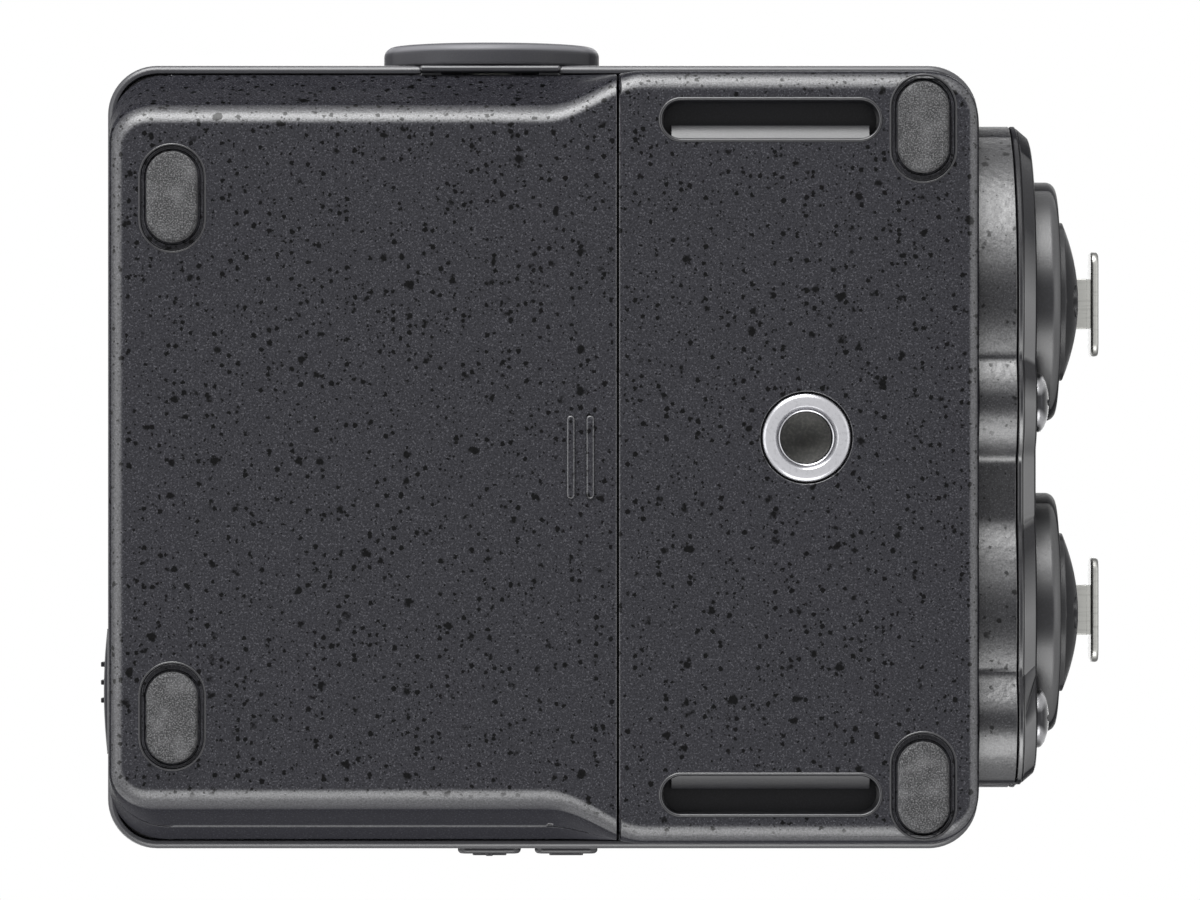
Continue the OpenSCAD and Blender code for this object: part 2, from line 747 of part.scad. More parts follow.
// Upper case: one moulding from the side seam to the top face
screw_shank = 3;
jack_h = 4.6;
jack_z = main_z - jack_h / 2;
usb_z = main_z - usb_h / 2 - fit;
door_pin_l = door_w + 4;
boss_h = 8;
rim_turn = 0.8;
rim_rise = 2.6;
case_levels = concat(
    [[top_z0, rim_inset], [top_z0 + rim_turn, rim_inset / 3], [top_z0 + rim_rise, 0]],
    [for (a = [0:30:90]) [body_top - top_fillet * (1 - sin(a)), top_fillet * (1 - cos(a))]]);
module power_boss() {
    pts = [for (i = [0:2 * arc_n]) let (t = i / arc_n - 1) [-hl - boss_out * (1 - t * t),
        boss_y + t * boss_l / 2]];
    prism(concat(backwards(pts), [[-hl + 0.5, boss_y - boss_l / 2], [-hl + 0.5, boss_y + boss_l / 2]]),
        side_z - boss_h / 2, side_z + boss_h / 2);
}
module top_case() {
    color("#55555a") difference() {
        union() {
            difference() {
                loft([for (v = case_levels) at_z(rrect(body_l - 2 * v[1], body_w - 2 * v[1],
                    corner_r - v[1]), v[0])]);
                prism(rrect(in_l, in_w, corner_r - wall), top_z0 - 1, ceil_z);
            }
            power_boss();
            for (s = [-1, 1]) {
                translate([deck_screw[0], s * deck_screw[1], deck_z + fit])
                    cylinder(h = ceil_z - deck_z + 0.5, r = boss_r);
                translate([case_foot[0], s * case_foot[1], foot_boss_top + fit])
                    cylinder(h = ceil_z - foot_boss_top + 0.5, r = boss_r);
                for (p = key_post_at) translate([p[0], s * p[1], board_top + fit])
                    cylinder(h = ceil_z - board_top + 0.5, r = key_post_r);
            }
        }
        key_openings();
        side_openings();
        end_openings();
        for (s = [-1, 1]) {
            translate([deck_screw[0], s * deck_screw[1], deck_z - 1])
                cylinder(h = screw_grip + 1, d = case_screw_d + 2 * fit);
            translate([case_foot[0], s * case_foot[1], foot_boss_top - 1])
                cylinder(h = screw_grip + 1, d = case_screw_d + 2 * fit);
        }
    }
}

// Case screws: two through the deck, two hidden under the connector end feet
screw_grip = 7;
module case_screw(p, z0, l) {
    translate([p[0], p[1], z0]) difference() {
        union() {
            cylinder(h = head_t, d = case_screw_head);
            cylinder(h = head_t + l, d = case_screw_d);
        }
        translate([0, 0, -1]) cylinder(h = 2, d = case_screw_d, $fn = 6);
    }
}
module case_screws() {
    color("#303032") for (s = [-1, 1]) {
        case_screw([deck_screw[0], s * deck_screw[1]], bay_top - head_t, bay_wall + screw_grip - 1);
        case_screw([case_foot[0], s * case_foot[1]], foot_proud + foot_pocket,
            foot_boss_top - foot_proud - foot_pocket - head_t + screw_grip - 1);
    }
}

// Outline of collar and plate: a disc for each socket and two diagonal ears
module socket_discs(h, grow0, grow1) {
    for (c = [-1, 1]) {
        translate([0, c * xlr_pitch / 2, 0])
            cylinder(h = h, r1 = collar_r + grow0, r2 = collar_r + grow1);
        for (s = [-1, 1]) translate([s * screw_z, c * xlr_pitch / 2 + s * screw_y, 0])
            cylinder(h = h, r1 = ear_r + grow0, r2 = ear_r + grow1);
    }
}
module socket_holes(h) {
    for (c = [-1, 1]) {
        translate([0, c * xlr_pitch / 2, -1]) cylinder(h = h + 2, d = xlr_d + 2 * fit);
        for (s = [-1, 1]) translate([s * screw_z, c * xlr_pitch / 2 + s * screw_y, -1])
            cylinder(h = h + 2, d = screw_shank + 2 * fit);
    }
}
module input_panel() {
    color("#3e3e42") to_x(panel_x, 0, xlr_z) difference() {
        socket_discs(collar_t, 0, 0);
        socket_holes(collar_t);
    }
}
module connector_plate() {
    land = plate_x - plate_chamfer;
    color("#4a4a4e") to_x(plate_x0, 0, xlr_z) difference() {
        union() {
            socket_discs(land + eps, 0, 0);
            translate([0, 0, land]) socket_discs(plate_chamfer, 0, -plate_chamfer);
        }
        socket_holes(plate_x);
    }
}
screw_dome = 1.4;
module connector_screws() {
    head = concat([[0, 0]], [for (a = [0:15:90]) [screw_head / 2 * cos(a),
        0.3 + (screw_dome - 0.3) * sin(a)]]);
    color("#333335") for (c = [-1, 1], s = [-1, 1])
        to_x(plate_x1, c * xlr_pitch / 2 + s * screw_y, xlr_z - s * screw_z) difference() {
            union() {
                rotate_extrude()
                    polygon(concat([[0, 0], [screw_head / 2, 0]], [for (i = [1:len(head) - 2]) head[i]],
                        [[0, screw_dome]]));
                translate([0, 0, -(plate_x1 - hl + wall)])
                    cylinder(h = plate_x1 - hl + wall + eps, d = screw_shank);
            }
            for (t = [0, 90]) rotate(t) translate([-1.5, -0.3, screw_dome - 0.7]) cube([3, 0.6, 1]);
        }
}

// Input socket: shell with rounded ring, domed insert, contacts and sprung latch
ring_round = 1;
shell_l = ring_x - barrel_x;
latch_w0 = latch_z + latch_t / 2;
module at_socket(c) {
    to_x(barrel_x, c * xlr_pitch / 2, xlr_z) children();
}
module xlr_shell(c) {
    ro = xlr_d / 2;
    ri = xlr_bore / 2;
    rc = xlr_core / 2 + fit;
    y = c * xlr_pitch / 2;
    color("#4a4a4e") difference() {
        at_socket(c) rotate_extrude() polygon(concat(
            [[rc, 0], [ro, 0]],
            arc(ro - ring_round, shell_l - ring_round, ring_round, 0, 90),
            [[ri + 0.4, shell_l], [ri, shell_l - 0.4], [ri, back_t], [rc, back_t]]));
        block([pivot_x - knuckle_r - clear, y - slot_w / 2, xlr_z + ri - 1.6],
            [ring_x + 1, y + slot_w / 2, xlr_z + latch_z + latch_t + clear]);
        block([pivot_x - knuckle_r - clear, y - slot_w / 2, xlr_z + ri - 1.6],
            [panel_x, y + slot_w / 2, xlr_z + xlr_d]);
        to_y(pivot_x, y - latch_pin_l / 2 - fit, xlr_z + latch_w0)
            cylinder(h = latch_pin_l + 2 * fit, r = latch_pin_r + fit / 2);
    }
}
pin_circle = 3.8;
contact_r = 1.5;
dome_edge = 0.5;
module xlr_insert(c) {
    core = xlr_core / 2;
    front = shell_l + dome_out;
    color("#3a3a3d") at_socket(c) difference() {
        rotate_extrude() polygon(concat(
            [[0, 0], [core, 0], [core, shell_l - dome_edge]],
            [for (a = [15:15:75]) [core * cos(a), shell_l - dome_edge + (dome_out + dome_edge) * sin(a)]],
            [[0, front]]));
        for (a = [0, 120, 240]) rotate(a) translate([pin_circle, 0, -1])
            cylinder(h = front + 2, r = contact_r + 2 * fit);
    }
}
contact_set = 2;
tail_l = 0.8;
module xlr_contacts(c) {
    color("#b9a36a") at_socket(c) for (a = [0, 120, 240]) rotate(a) translate([pin_circle, 0, 0]) {
        difference() {
            cylinder(h = shell_l - contact_set, r = contact_r);
            translate([0, 0, 4]) cylinder(h = shell_l, r = contact_r - 0.3);
        }
        translate([0, 0, -tail_l]) cylinder(h = tail_l + eps, r = 0.5);
    }
}
latch_pin_l = slot_w + 2.4;
hook_x = 9;
module xlr_latch(c) {
    y = c * xlr_pitch / 2;
    z = xlr_z + latch_z;
    color("#c4c4c0") difference() {
        union() {
            block([pivot_x, y - stem_w / 2, z], [tab_x1 - eps, y + stem_w / 2, z + latch_t]);
            to_y(pivot_x, y - stem_w / 2, xlr_z + latch_w0) cylinder(h = stem_w, r = knuckle_r);
            to_x(tab_x1 - latch_t, y, z + tab_h / 2 - 0.3)
                prism(rrect(tab_h, tab_w, latch_t), 0, latch_t);
            translate([pivot_x + hook_x, y + stem_w / 4, z + eps]) rotate([90, 0, 0])
                linear_extrude(stem_w / 2) polygon([[0, 0], [3, 0], [0.4, -0.9], [0, -0.9]]);
        }
        to_y(pivot_x, y - stem_w, xlr_z + latch_w0)
            cylinder(h = 2 * stem_w, r = latch_pin_r + shaft_clear);
    }
}
module xlr_latch_pin(c) {
    color("#b0b0b0") to_y(pivot_x, c * xlr_pitch / 2 - latch_pin_l / 2, xlr_z + latch_w0)
        cylinder(h = latch_pin_l, r = latch_pin_r);
}

// Dial with crowned face, its shaft, bezel, encoder and board
dial_edge = 0.85;
dial_crown = 0.3;
shaft_socket = 1.5;
module dial() {
    t = dial_y0 - dial_y1;
    color("#505054") to_minus_y(dial_x, dial_y0, dial_z) difference() {
        rotate_extrude() polygon(concat(
            [[0, 0], [dial_r - 0.3, 0], [dial_r, 0.3]],
            arc(dial_r - dial_edge, t - dial_crown - dial_edge, dial_edge, 0, 75),
            [[dial_r * 0.5, t - dial_crown * 0.25], [0, t]]));
        translate([0, 0, -1]) cylinder(h = 1 + shaft_socket, d = shaft_d + 2 * fit);
    }
}
module dial_shaft() {
    y0 = -encoder_y0 - 0.5;
    y1 = dial_y0 - shaft_socket;
    color("#a8a8a8") to_minus_y(dial_x, y0, dial_z) cylinder(h = y0 - y1, d = shaft_d);
}
module dial_bezel() {
    back = -hw + wall;
    color("#2c2c2e") difference() {
        union() {
            to_minus_y(dial_x, bezel_y1, dial_z) cylinder(h = bezel_y1 - bezel_y0, r = bezel_ro);
            intersection() {
                to_minus_y(dial_x, back, dial_z) cylinder(h = back - bezel_y1 + eps, r = bezel_ro);
                block([-body_l, -body_w, top_z0 + clear], [body_l, body_w, body_top]);
            }
        }
        to_minus_y(dial_x, bezel_y1 - 0.2, dial_z) cylinder(h = wall + 1, r = bezel_ri);
        to_minus_y(dial_x, back + 1, dial_z) cylinder(h = wall + 3, d = shaft_d + 2 * clear);
    }
}
module dial_encoder() {
    s = encoder_s / 2;
    y1 = -encoder_y0 - encoder_l;
    color("#8a8a8c") difference() {
        block([dial_x - s, y1, dial_z - s], [dial_x + s, -encoder_y0, dial_z + s]);
        to_minus_y(dial_x, -encoder_y0 + 1, dial_z)
            cylinder(h = encoder_l + 2, d = shaft_d + 2 * shaft_clear);
    }
}
side_board_edge = [2.5, 1.5];
module side_board(x, s) {
    mirror([0, s < 0 ? 1 : 0, 0]) to_y(x, side_board_y, (dial_z + side_z) / 2)
        prism(rrect(encoder_s + 2 * side_board_edge[0], encoder_s + 2 * side_board_edge[1], 1), 0,
            side_board_t);
}
module dial_board() {
    color("#2f5d3a") side_board(dial_x, -1);
}

// Volume keys with raised plus and minus bars, their switches and board
mark_l = 2.9;
mark_w = 0.6;
mark_h = 0.15;
module volume_key(s) {
    color("#46464a") translate([volume_x + s * volume_pitch / 2, 0, side_z]) {
        to_y(0, volume_in - flange_t, 0)
            prism(rrect(volume_w + key_gap * 2 + 0.7, volume_h + 2 * flange_w, 0.5), 0, flange_t);
        to_y(0, volume_in - eps, 0)
            prism(rrect(volume_w, volume_h, 0.9), 0, hw + volume_proud - mark_h - volume_in + eps);
        block([-mark_l / 2, hw, -mark_w / 2], [mark_l / 2, hw + volume_proud, mark_w / 2]);
        if (s < 0) block([-mark_w / 2, hw, -mark_l / 2], [mark_w / 2, hw + volume_proud, mark_l / 2]);
    }
}
side_switch = 5.2;
side_switch_cap = 0.6;
module volume_switches() {
    color("#2b2b2d") for (s = [-1, 1]) translate([volume_x + s * volume_pitch / 2, 0, side_z]) {
        block([-side_switch / 2, volume_board_y + side_board_t, -side_switch / 2],
            [side_switch / 2, volume_sw - side_switch_cap, side_switch / 2]);
        to_y(0, volume_sw - side_switch_cap - eps, 0)
            cylinder(h = side_switch_cap + eps, d = side_switch / 2);
    }
}
module volume_board() {
    color("#2f5d3a") side_board(volume_x, 1);
}

// Power knob that slides along the case end, and its switch
knob_x0 = -hl - boss_out;
knob_flange_x = -hl + wall + fit;
knob_pin_l = 1.2;
module power_slider() {
    y = boss_y + knob_rest;
    color("#2c2c2e") {
        to_x(knob_x0 + 0.1, y, side_z)
            prism(rrect(knob_h, knob_l, 0.6), 0, knob_flange_x - knob_x0 - 0.1 + eps);
        for (k = [-1:1]) block([knob_x0 - knob_rib, y + k * knob_pitch - 0.25, side_z - knob_h / 2 + 0.5],
            [knob_x0 + 0.5, y + k * knob_pitch + 0.25, side_z + knob_h / 2 - 0.5]);
        to_x(knob_flange_x, y, side_z)
            prism(rrect(knob_h + flange_w, knob_l + 2 * knob_reach, 0.6), 0, flange_t);
        to_x(knob_flange_x + flange_t - eps, y, side_z) cylinder(h = knob_pin_l, r = 1);
    }
}
power_switch_size = [5, 10, 4.4];
module power_switch() {
    x0 = knob_flange_x + flange_t + knob_pin_l + clear;
    color("#8a8a8c") block([x0, boss_y - power_switch_size[1] / 2, main_z - power_switch_size[2]],
        [x0 + power_switch_size[0], boss_y + power_switch_size[1] / 2, main_z]);
}

// Keys of the top face: cap, flange under the case and stem over the switch
module key_body(p, cap_l, cap_w, r, round) {
    translate([p[0], p[1], 0]) {
        if (round) translate([0, 0, stem_z + 1])
            cylinder(h = body_top + key_proud - stem_z - 1, d = cap_l);
        else prism(rrect(cap_l, cap_w, r), stem_z + 1, body_top + key_proud);
        if (round) translate([0, 0, ceil_z - fit - flange_t])
            cylinder(h = flange_t, d = cap_l + 2 * flange_w);
        else prism(rrect(cap_l + 2 * flange_w, cap_w + 2 * flange_w, r), ceil_z - fit - flange_t,
            ceil_z - fit);
        translate([0, 0, stem_z]) cylinder(h = 1 + eps, r = 1.5);
    }
}
module flat_key(p) {
    color("#606065") key_body(p, key_l, key_w, key_r - key_gap, false);
}
module round_key(k, tint) {
    color(tint) key_body(transport_at(k), round_key_d, round_key_d, 0, true);
}
module record_lamp() {
    color("#c04030") translate([lamp_at[0], lamp_at[1], board_top])
        cylinder(h = body_top + 0.2 - board_top, d = lamp_d);
}
module key_switches() {
    color("#2b2b2d") for (p = concat(flat_keys, round_keys)) translate([p[0], p[1], board_top]) {
        block([-3, -3, 0], [3, 3, switch_h - 0.5]);
        translate([0, 0, switch_h - 0.5 - eps]) cylinder(h = 0.5 + eps, r = 1.6);
    }
}
module key_board() {
    x0 = -hl + wall + 2;
    x1 = function_x + 4.5;
    color("#2f5d3a") translate([(x0 + x1) / 2, 0, 0])
        prism(rrect(x1 - x0, 2 * main_half, 1.5), board_top - board_t, board_top);
}

// Display window and module
module display_window() {
    color("#101014") translate([window_x, 0, 0])
        prism(rrect(window_l, window_w, 2), body_top - window_t + fit, body_top);
}
module display_module() {
    color("#1b1b20") translate([window_x, 0, 0])
        prism(rrect(window_l + 2, window_w + 2, 1), ceil_z - fit - display_t, ceil_z - fit);
}

// Boards
module main_board() {
    color("#2f5d3a") translate([(main_x0 + main_x1) / 2, 0, 0])
        prism(rrect(main_x1 - main_x0, 2 * main_half, 2), main_z, main_z + board_t);
}
module input_board() {
    board_h = xlr_d;
    color("#2f5d3a") to_x(input_x, 0, xlr_z) prism(rrect(board_h, xlr_pitch + xlr_d, 1.5), 0, board_t);
}

// Audio jacks: body under the board and a round nose through the case side
module jack(x, s) {
    color("#2b2b2d") mirror([0, s < 0 ? 1 : 0, 0]) difference() {
        union() {
            block([x - jack_s / 2, in_w / 2 - jack_l, main_z - jack_h],
                [x + jack_s / 2, in_w / 2 - fit, main_z]);
            to_y(x, in_w / 2 - fit - eps, jack_z) cylinder(h = wall, d = nose_d);
        }
        to_y(x, in_w / 2 - jack_l + 1, jack_z) cylinder(h = jack_l + wall + 2, d = jack_d);
    }
}

// Power port with its inner tongue
usb_l = 7.2;
usb_skin = 0.35;
module usb_port() {
    color("#b0b0b0") to_x(-hl + 0.2, usb_y, usb_z) {
        difference() {
            prism(rrect(usb_h, usb_w, usb_h / 2 - 0.1), 0, usb_l);
            prism(rrect(usb_h - 2 * usb_skin, usb_w - 2 * usb_skin, usb_h / 2 - usb_skin - 0.1), -1,
                usb_l - 1);
        }
        block([-0.35, -usb_w / 2 + 1.2, 0.8], [0.35, usb_w / 2 - 1.2, usb_l - 1 + eps]);
    }
}

// Card door with rolled hinge edge, its pin, the card socket and card
module card_door() {
    y0 = door_y - door_w / 2;
    color("#46464a") difference() {
        union() {
            to_y(hinge_x, y0, door_z) cylinder(h = door_w, r = door_roll);
            block([door_out, y0, door_z], [door_out + door_t, y0 + door_w, door_z - door_roll + door_h]);
        }
        to_y(hinge_x, y0 - 1, door_z) cylinder(h = door_w + 2, d = door_pin_d + 2 * door_pin_clear);
    }
}
module card_door_pin() {
    color("#b0b0b0") to_y(hinge_x, door_y - door_pin_l / 2, door_z)
        cylinder(h = door_pin_l, d = door_pin_d);
}
socket_l = 15;
socket_w = 14;
socket_h = 1.9;
card_l = 15;
card_w = 11;
card_t = 0.8;
card_out = 1.2;
module card_socket() {
    z0 = main_z + board_t;
    color("#b0b0b0") difference() {
        block([main_x0, door_y - socket_w / 2, z0],
            [main_x0 + socket_l, door_y + socket_w / 2, z0 + socket_h]);
        block([main_x0 - 1, door_y - card_w / 2 - 0.1, z0 + 0.5],
            [main_x0 + socket_l - 1, door_y + card_w / 2 + 0.1, z0 + 1.5]);
    }
}
module memory_card() {
    z0 = main_z + board_t + 0.6;
    color("#202022") block([main_x0 - card_out, door_y - card_w / 2, z0],
        [main_x0 - card_out + card_l, door_y + card_w / 2, z0 + card_t]);
}

// Cells, in turn one way and the other, with contact springs and plates
function cell_x(i) = bay_x0 + cell_gap + cell_d / 2 + (i - 1) * (cell_d + cell_gap);
function cell_way(i) = i % 2 == 0 ? -1 : 1;
contact_y = bay_half - plate_t - fit / 2;
button_y = contact_y - bump_h - fit;
module along_cell(i) {
    translate([cell_x(i), 0, cell_z]) rotate([cell_way(i) > 0 ? -90 : 90, 0, 0]) children();
}
module battery_cell(i) {
    base = button_y - button_h - cell_l;
    edge = 0.6;
    color("#8c7a3c") along_cell(i) translate([0, 0, base]) rotate_extrude() polygon([
        [0, 0], [cell_d / 2 - edge, 0], [cell_d / 2, edge], [cell_d / 2, cell_l - edge],
            [cell_d / 2 - edge, cell_l],
        [button_d / 2, cell_l], [button_d / 2, cell_l + button_h - 0.3],
            [button_d / 2 - 0.3, cell_l + button_h], [0, cell_l + button_h]]);
}

// Conical contact spring: one tube of six sides, eight rings a turn
curl_n = 8;
spring_path = let (
    rise = spring_l - spring_wire - 2 * fit,
    steps = curl_n * spring_turns,
    wind = [for (k = [0:steps]) let (t = k / steps, a = 360 * spring_turns * t,
        r = spring_r1 + (spring_r2 - spring_r1) * t)
        [r * cos(a), r * sin(a), spring_wire / 2 + fit + rise * t]])
    concat([wind[0] - spring_wire * unit(wind[1] - wind[0])], wind,
        [wind[steps] + spring_wire * unit(wind[steps] - wind[steps - 1])]);
spring_self_gap = min([for (i = [0:len(spring_path) - 1], j = [0:len(spring_path) - 1])
    if (j - i > curl_n / 2) norm(spring_path[i] - spring_path[j])]) - spring_wire;
echo(spring_self_gap = spring_self_gap);
function spring_ring(i) =
    let (p = spring_path[i], n = len(spring_path) - 1,
        tangent = unit(spring_path[min(n, i + 1)] - spring_path[max(0, i - 1)]),
        u = unit(cross(tangent, [0, 0, 1])), v = cross(tangent, u))
    [for (a = [0:60:300]) p + spring_wire / 2 * (cos(a) * u + sin(a) * v)];
module contact_spring() {
    loft([for (i = [0:len(spring_path) - 1]) spring_ring(i)]);
}
module battery_springs() {
    color("#c8c8c4") for (i = [1:cells]) along_cell(i) translate([0, 0,
        -contact_y + fit / 2]) contact_spring();
}
plate_edge = [1.75, 1.25];
module battery_plates() {
    color("#c8c8c4") for (i = [1:cells]) along_cell(i) {
        for (z = [-contact_y - plate_t, contact_y]) translate([0, 0, z])
            prism(rrect(cell_d - 2 * plate_edge[0], cell_d - 2 * plate_edge[1], 1), 0, plate_t);
        translate([0, 0, contact_y - bump_h]) cylinder(h = bump_h + eps, r1 = 1.8, r2 = 2.6);
    }
}

place() top_case();
place() bottom_case();
place() battery_cover();
place() cover_feet();
place() case_feet();
place() tripod_insert();
place() input_panel();
place() connector_plate();
place() connector_screws();
for (k = [1, 2]) {
    c = 2 * k - 3;
    place() xlr_shell(c);
    place() xlr_insert(c);
    place() xlr_contacts(c);
    place() xlr_latch(c);
    place() xlr_latch_pin(c);
}
place() dial();
place() dial_shaft();
place() dial_bezel();
place() dial_encoder();
place() dial_board();
place() volume_key(-1);  // volume_up_key
place() volume_key(1);  // volume_down_key
place() volume_switches();
place() volume_board();
place() power_slider();
place() power_switch();
for (i = [1:4])
    place() flat_key(function_key_at(i));
place() flat_key(home_at);  // home_key
place() flat_key(menu_at);  // menu_key
place() round_key(-1, "#8c2f28");  // record_key
place() round_key(0, "#606065");  // stop_key
place() round_key(1, "#606065");  // play_key
place() record_lamp();
place() key_switches();
place() key_board();
place() display_window();
place() display_module();
place() main_board();
place() input_board();
place() jack(jack_x, -1);  // phones_jack
place() jack(jack_x, 1);  // line_out_jack
place() jack(jack2_x, 1);  // ext_in_jack
place() usb_port();
place() card_door();
place() card_door_pin();
place() card_socket();
place() memory_card();
for (i = [1:cells])
    place() battery_cell(i);
place() battery_springs();
place() battery_plates();
place() case_screws();
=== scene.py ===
"""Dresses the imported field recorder: fine mouldings, keys, inputs and finishes around the fixed frame."""

import json
from math import cos, exp, hypot, log, pi, radians, sin

import bmesh
import bpy
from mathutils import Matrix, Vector


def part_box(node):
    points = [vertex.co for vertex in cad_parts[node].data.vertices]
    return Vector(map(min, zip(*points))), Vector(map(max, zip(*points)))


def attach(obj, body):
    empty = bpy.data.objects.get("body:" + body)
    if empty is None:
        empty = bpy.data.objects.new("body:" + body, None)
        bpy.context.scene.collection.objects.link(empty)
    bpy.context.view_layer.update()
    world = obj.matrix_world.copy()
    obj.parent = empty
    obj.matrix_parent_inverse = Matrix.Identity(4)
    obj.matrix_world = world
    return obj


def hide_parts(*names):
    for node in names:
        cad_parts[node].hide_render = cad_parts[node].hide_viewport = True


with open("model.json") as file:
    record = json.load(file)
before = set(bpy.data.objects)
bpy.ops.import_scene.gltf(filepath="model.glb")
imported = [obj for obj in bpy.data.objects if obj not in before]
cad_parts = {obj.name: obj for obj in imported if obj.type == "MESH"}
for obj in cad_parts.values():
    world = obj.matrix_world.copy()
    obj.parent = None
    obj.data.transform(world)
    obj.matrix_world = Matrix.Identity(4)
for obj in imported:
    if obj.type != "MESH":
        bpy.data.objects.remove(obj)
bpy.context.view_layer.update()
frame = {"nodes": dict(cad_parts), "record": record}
scene = bpy.context.scene
MM = 0.001

# Case sizes in millimetres, from the middle of the case outline, with the table at z = 0
BODY_L, BODY_W, BODY_TOP = 87.2, 78.2, 43.0
HL, HW = BODY_L / 2, BODY_W / 2
CORNER_R, WALL, TOP_FILLET = 5.3, 2.0, 3.0
SEAM_Z, SEAM_GAP, RIM_INSET = 9.0, 0.2, 0.75
TOP_Z0 = SEAM_Z + SEAM_GAP
CEILING_Z = BODY_TOP - WALL
CLEAR, FIT = 0.3, 0.05

case_lo, case_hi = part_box("top_case")
MIDDLE_X = case_hi.x / MM - HL
MIDDLE_Y = (case_lo.y + case_hi.y) / 2 / MM


# Plane outlines and solid forms, as vertices and faces in case millimetres
def arc(cx, cy, r, a0, a1, n=12):
    turns = [radians(a0 + (a1 - a0) * i / n) for i in range(n + 1)]
    return [(cx + r * cos(a), cy + r * sin(a)) for a in turns]


def rrect(lx, ly, r, n=8):
    x, y, r = lx / 2, ly / 2, max(r, 0.02)
    return (arc(x - r, y - r, r, 0, 90, n) + arc(r - x, y - r, r, 90, 180, n)
            + arc(r - x, r - y, r, 180, 270, n) + arc(x - r, r - y, r, 270, 360, n))


def stadium(l, w, n=24):
    return arc(0, (l - w) / 2, w / 2, 0, 180, n) + arc(0, (w - l) / 2, w / 2, 180, 360, n)


def circle(r, n=64):
    return arc(0, 0, r, 0, 360 - 360 / n, n - 1)


def smooth(t):
    u = min(1, max(0, t))
    return u * u * (3 - 2 * u)


def loft(rings, low=True, high=True, closed=True):
    n = len(rings[0])
    faces = []
    for k in range(len(rings) - 1):
        for i in range(n if closed else n - 1):
            j = (i + 1) % n
            faces.append((k * n + i, k * n + j, (k + 1) * n + j, (k + 1) * n + i))
    if low:
        faces.append(tuple(range(n - 1, -1, -1)))
    if high:
        faces.append(tuple((len(rings) - 1) * n + i for i in range(n)))
    return [p for ring in rings for p in ring], faces


def level(points, z):
    return [(x, y, z) for x, y in points]


def quarter(n=5):
    return [pi / 2 * i / n for i in range(n + 1)]


def rounded(r, h, radius, n):
    """Rounded corner of a profile, from below the top at a radius to the top inside it."""
    return [(r - radius * (1 - cos(a)), h - radius * (1 - sin(a))) for a in quarter(n)]


def pad(outline, z0, z1, low=0.0, high=0.0, steps=5):
    """Prism of outline(inset), with its lower and upper edges rounded by the two radii."""
    levels = [(z0 + low * (1 - cos(a)), low * (1 - sin(a))) for a in quarter(steps)] if low \
        else [(z0, 0)]
    levels += [(z1 - high * (1 - sin(a)), high * (1 - cos(a))) for a in quarter(steps)] if high \
        else [(z1, 0)]
    return loft([level(outline(inset), z) for z, inset in levels])


def block(a, b, edge=0.0):
    """Block between two corners, with its upright and lower and upper edges rounded."""
    lx, ly = b[0] - a[0], b[1] - a[1]
    form = pad(lambda i: rrect(lx - 2 * i, ly - 2 * i, edge - i, 4 if edge else 1), a[2], b[2], edge, edge, 3)
    return put(form, "+z", ((a[0] + b[0]) / 2, (a[1] + b[1]) / 2, 0))


def turned(profile, n=72, loop=False):
    """Solid of revolution about local z from (radius, height) pairs."""
    rings = [level(circle(max(r, 0), n), h) for r, h in profile]
    if loop:
        return loft(rings + rings[:1], False, False)
    return loft(rings, profile[0][0] > 0, profile[-1][0] > 0)


AXES = {
    "+z": ((1, 0, 0), (0, 1, 0), (0, 0, 1)),
    "+x": ((0, 0, -1), (0, 1, 0), (1, 0, 0)),
    "-x": ((0, 0, 1), (0, 1, 0), (-1, 0, 0)),
    "+y": ((1, 0, 0), (0, 0, -1), (0, 1, 0)),
    "-y": ((1, 0, 0), (0, 0, 1), (0, -1, 0)),
}


def put(form, axis="+z", place=(0, 0, 0)):
    """The form with its local z along an axis, moved to a place."""
    u, v, w = (Vector(a) for a in AXES[axis])
    return [tuple(u * x + v * y + w * z + Vector(place)) for x, y, z in form[0]], form[1]


def mirrored(form):
    return [(x, -y, z) for x, y, z in form[0]], [tuple(reversed(f)) for f in form[1]]


def both_sides(form):
    return joined(form, mirrored(form))


def through(points, z0, z1, axis="+z", place=(0, 0, 0)):
    """Prism of an outline between two heights along an axis."""
    return put(loft([level(points, z0), level(points, z1)]), axis, place)


def joined(*forms):
    verts, faces = [], []
    for form in forms:
        start = len(verts)
        verts += form[0]
        faces += [tuple(i + start for i in f) for f in form[1]]
    return verts, faces


# Blender objects from forms, with the turns in degrees from which an edge is rounded or shaded sharp
MERGE = 2e-6
BEVEL_TURN, SHADE_TURN = 35, 40


def tidy_mesh(mesh):
    bm = bmesh.new()
    bm.from_mesh(mesh)
    bmesh.ops.remove_doubles(bm, verts=bm.verts, dist=MERGE)
    bmesh.ops.dissolve_degenerate(bm, edges=bm.edges, dist=MERGE)
    bmesh.ops.recalc_face_normals(bm, faces=bm.faces)
    bm.to_mesh(mesh)
    bm.free()


def made(name, form):
    mesh = bpy.data.meshes.new(name)
    mesh.from_pydata([((x + MIDDLE_X) * MM, (y + MIDDLE_Y) * MM, z * MM) for x, y, z in form[0]], [], form[1])
    tidy_mesh(mesh)
    obj = bpy.data.objects.new(name, mesh)
    scene.collection.objects.link(obj)
    return obj


def applied(obj):
    """Turns an object's modifiers into its mesh."""
    bpy.context.view_layer.update()
    graph = bpy.context.evaluated_depsgraph_get()
    mesh = bpy.data.meshes.new_from_object(obj.evaluated_get(graph))
    obj.modifiers.clear()
    obj.data = mesh
    tidy_mesh(mesh)
    return obj


def carved(obj, *forms, how="DIFFERENCE"):
    """Cuts forms out of an object, or adds them to it."""
    tools = [made("tool", form) for form in forms]
    for tool in tools:
        cut = obj.modifiers.new("cut", "BOOLEAN")
        cut.object = tool
        cut.operation = how
        cut.solver = "EXACT"
    applied(obj)
    for tool in tools:
        bpy.data.objects.remove(tool)
    return obj


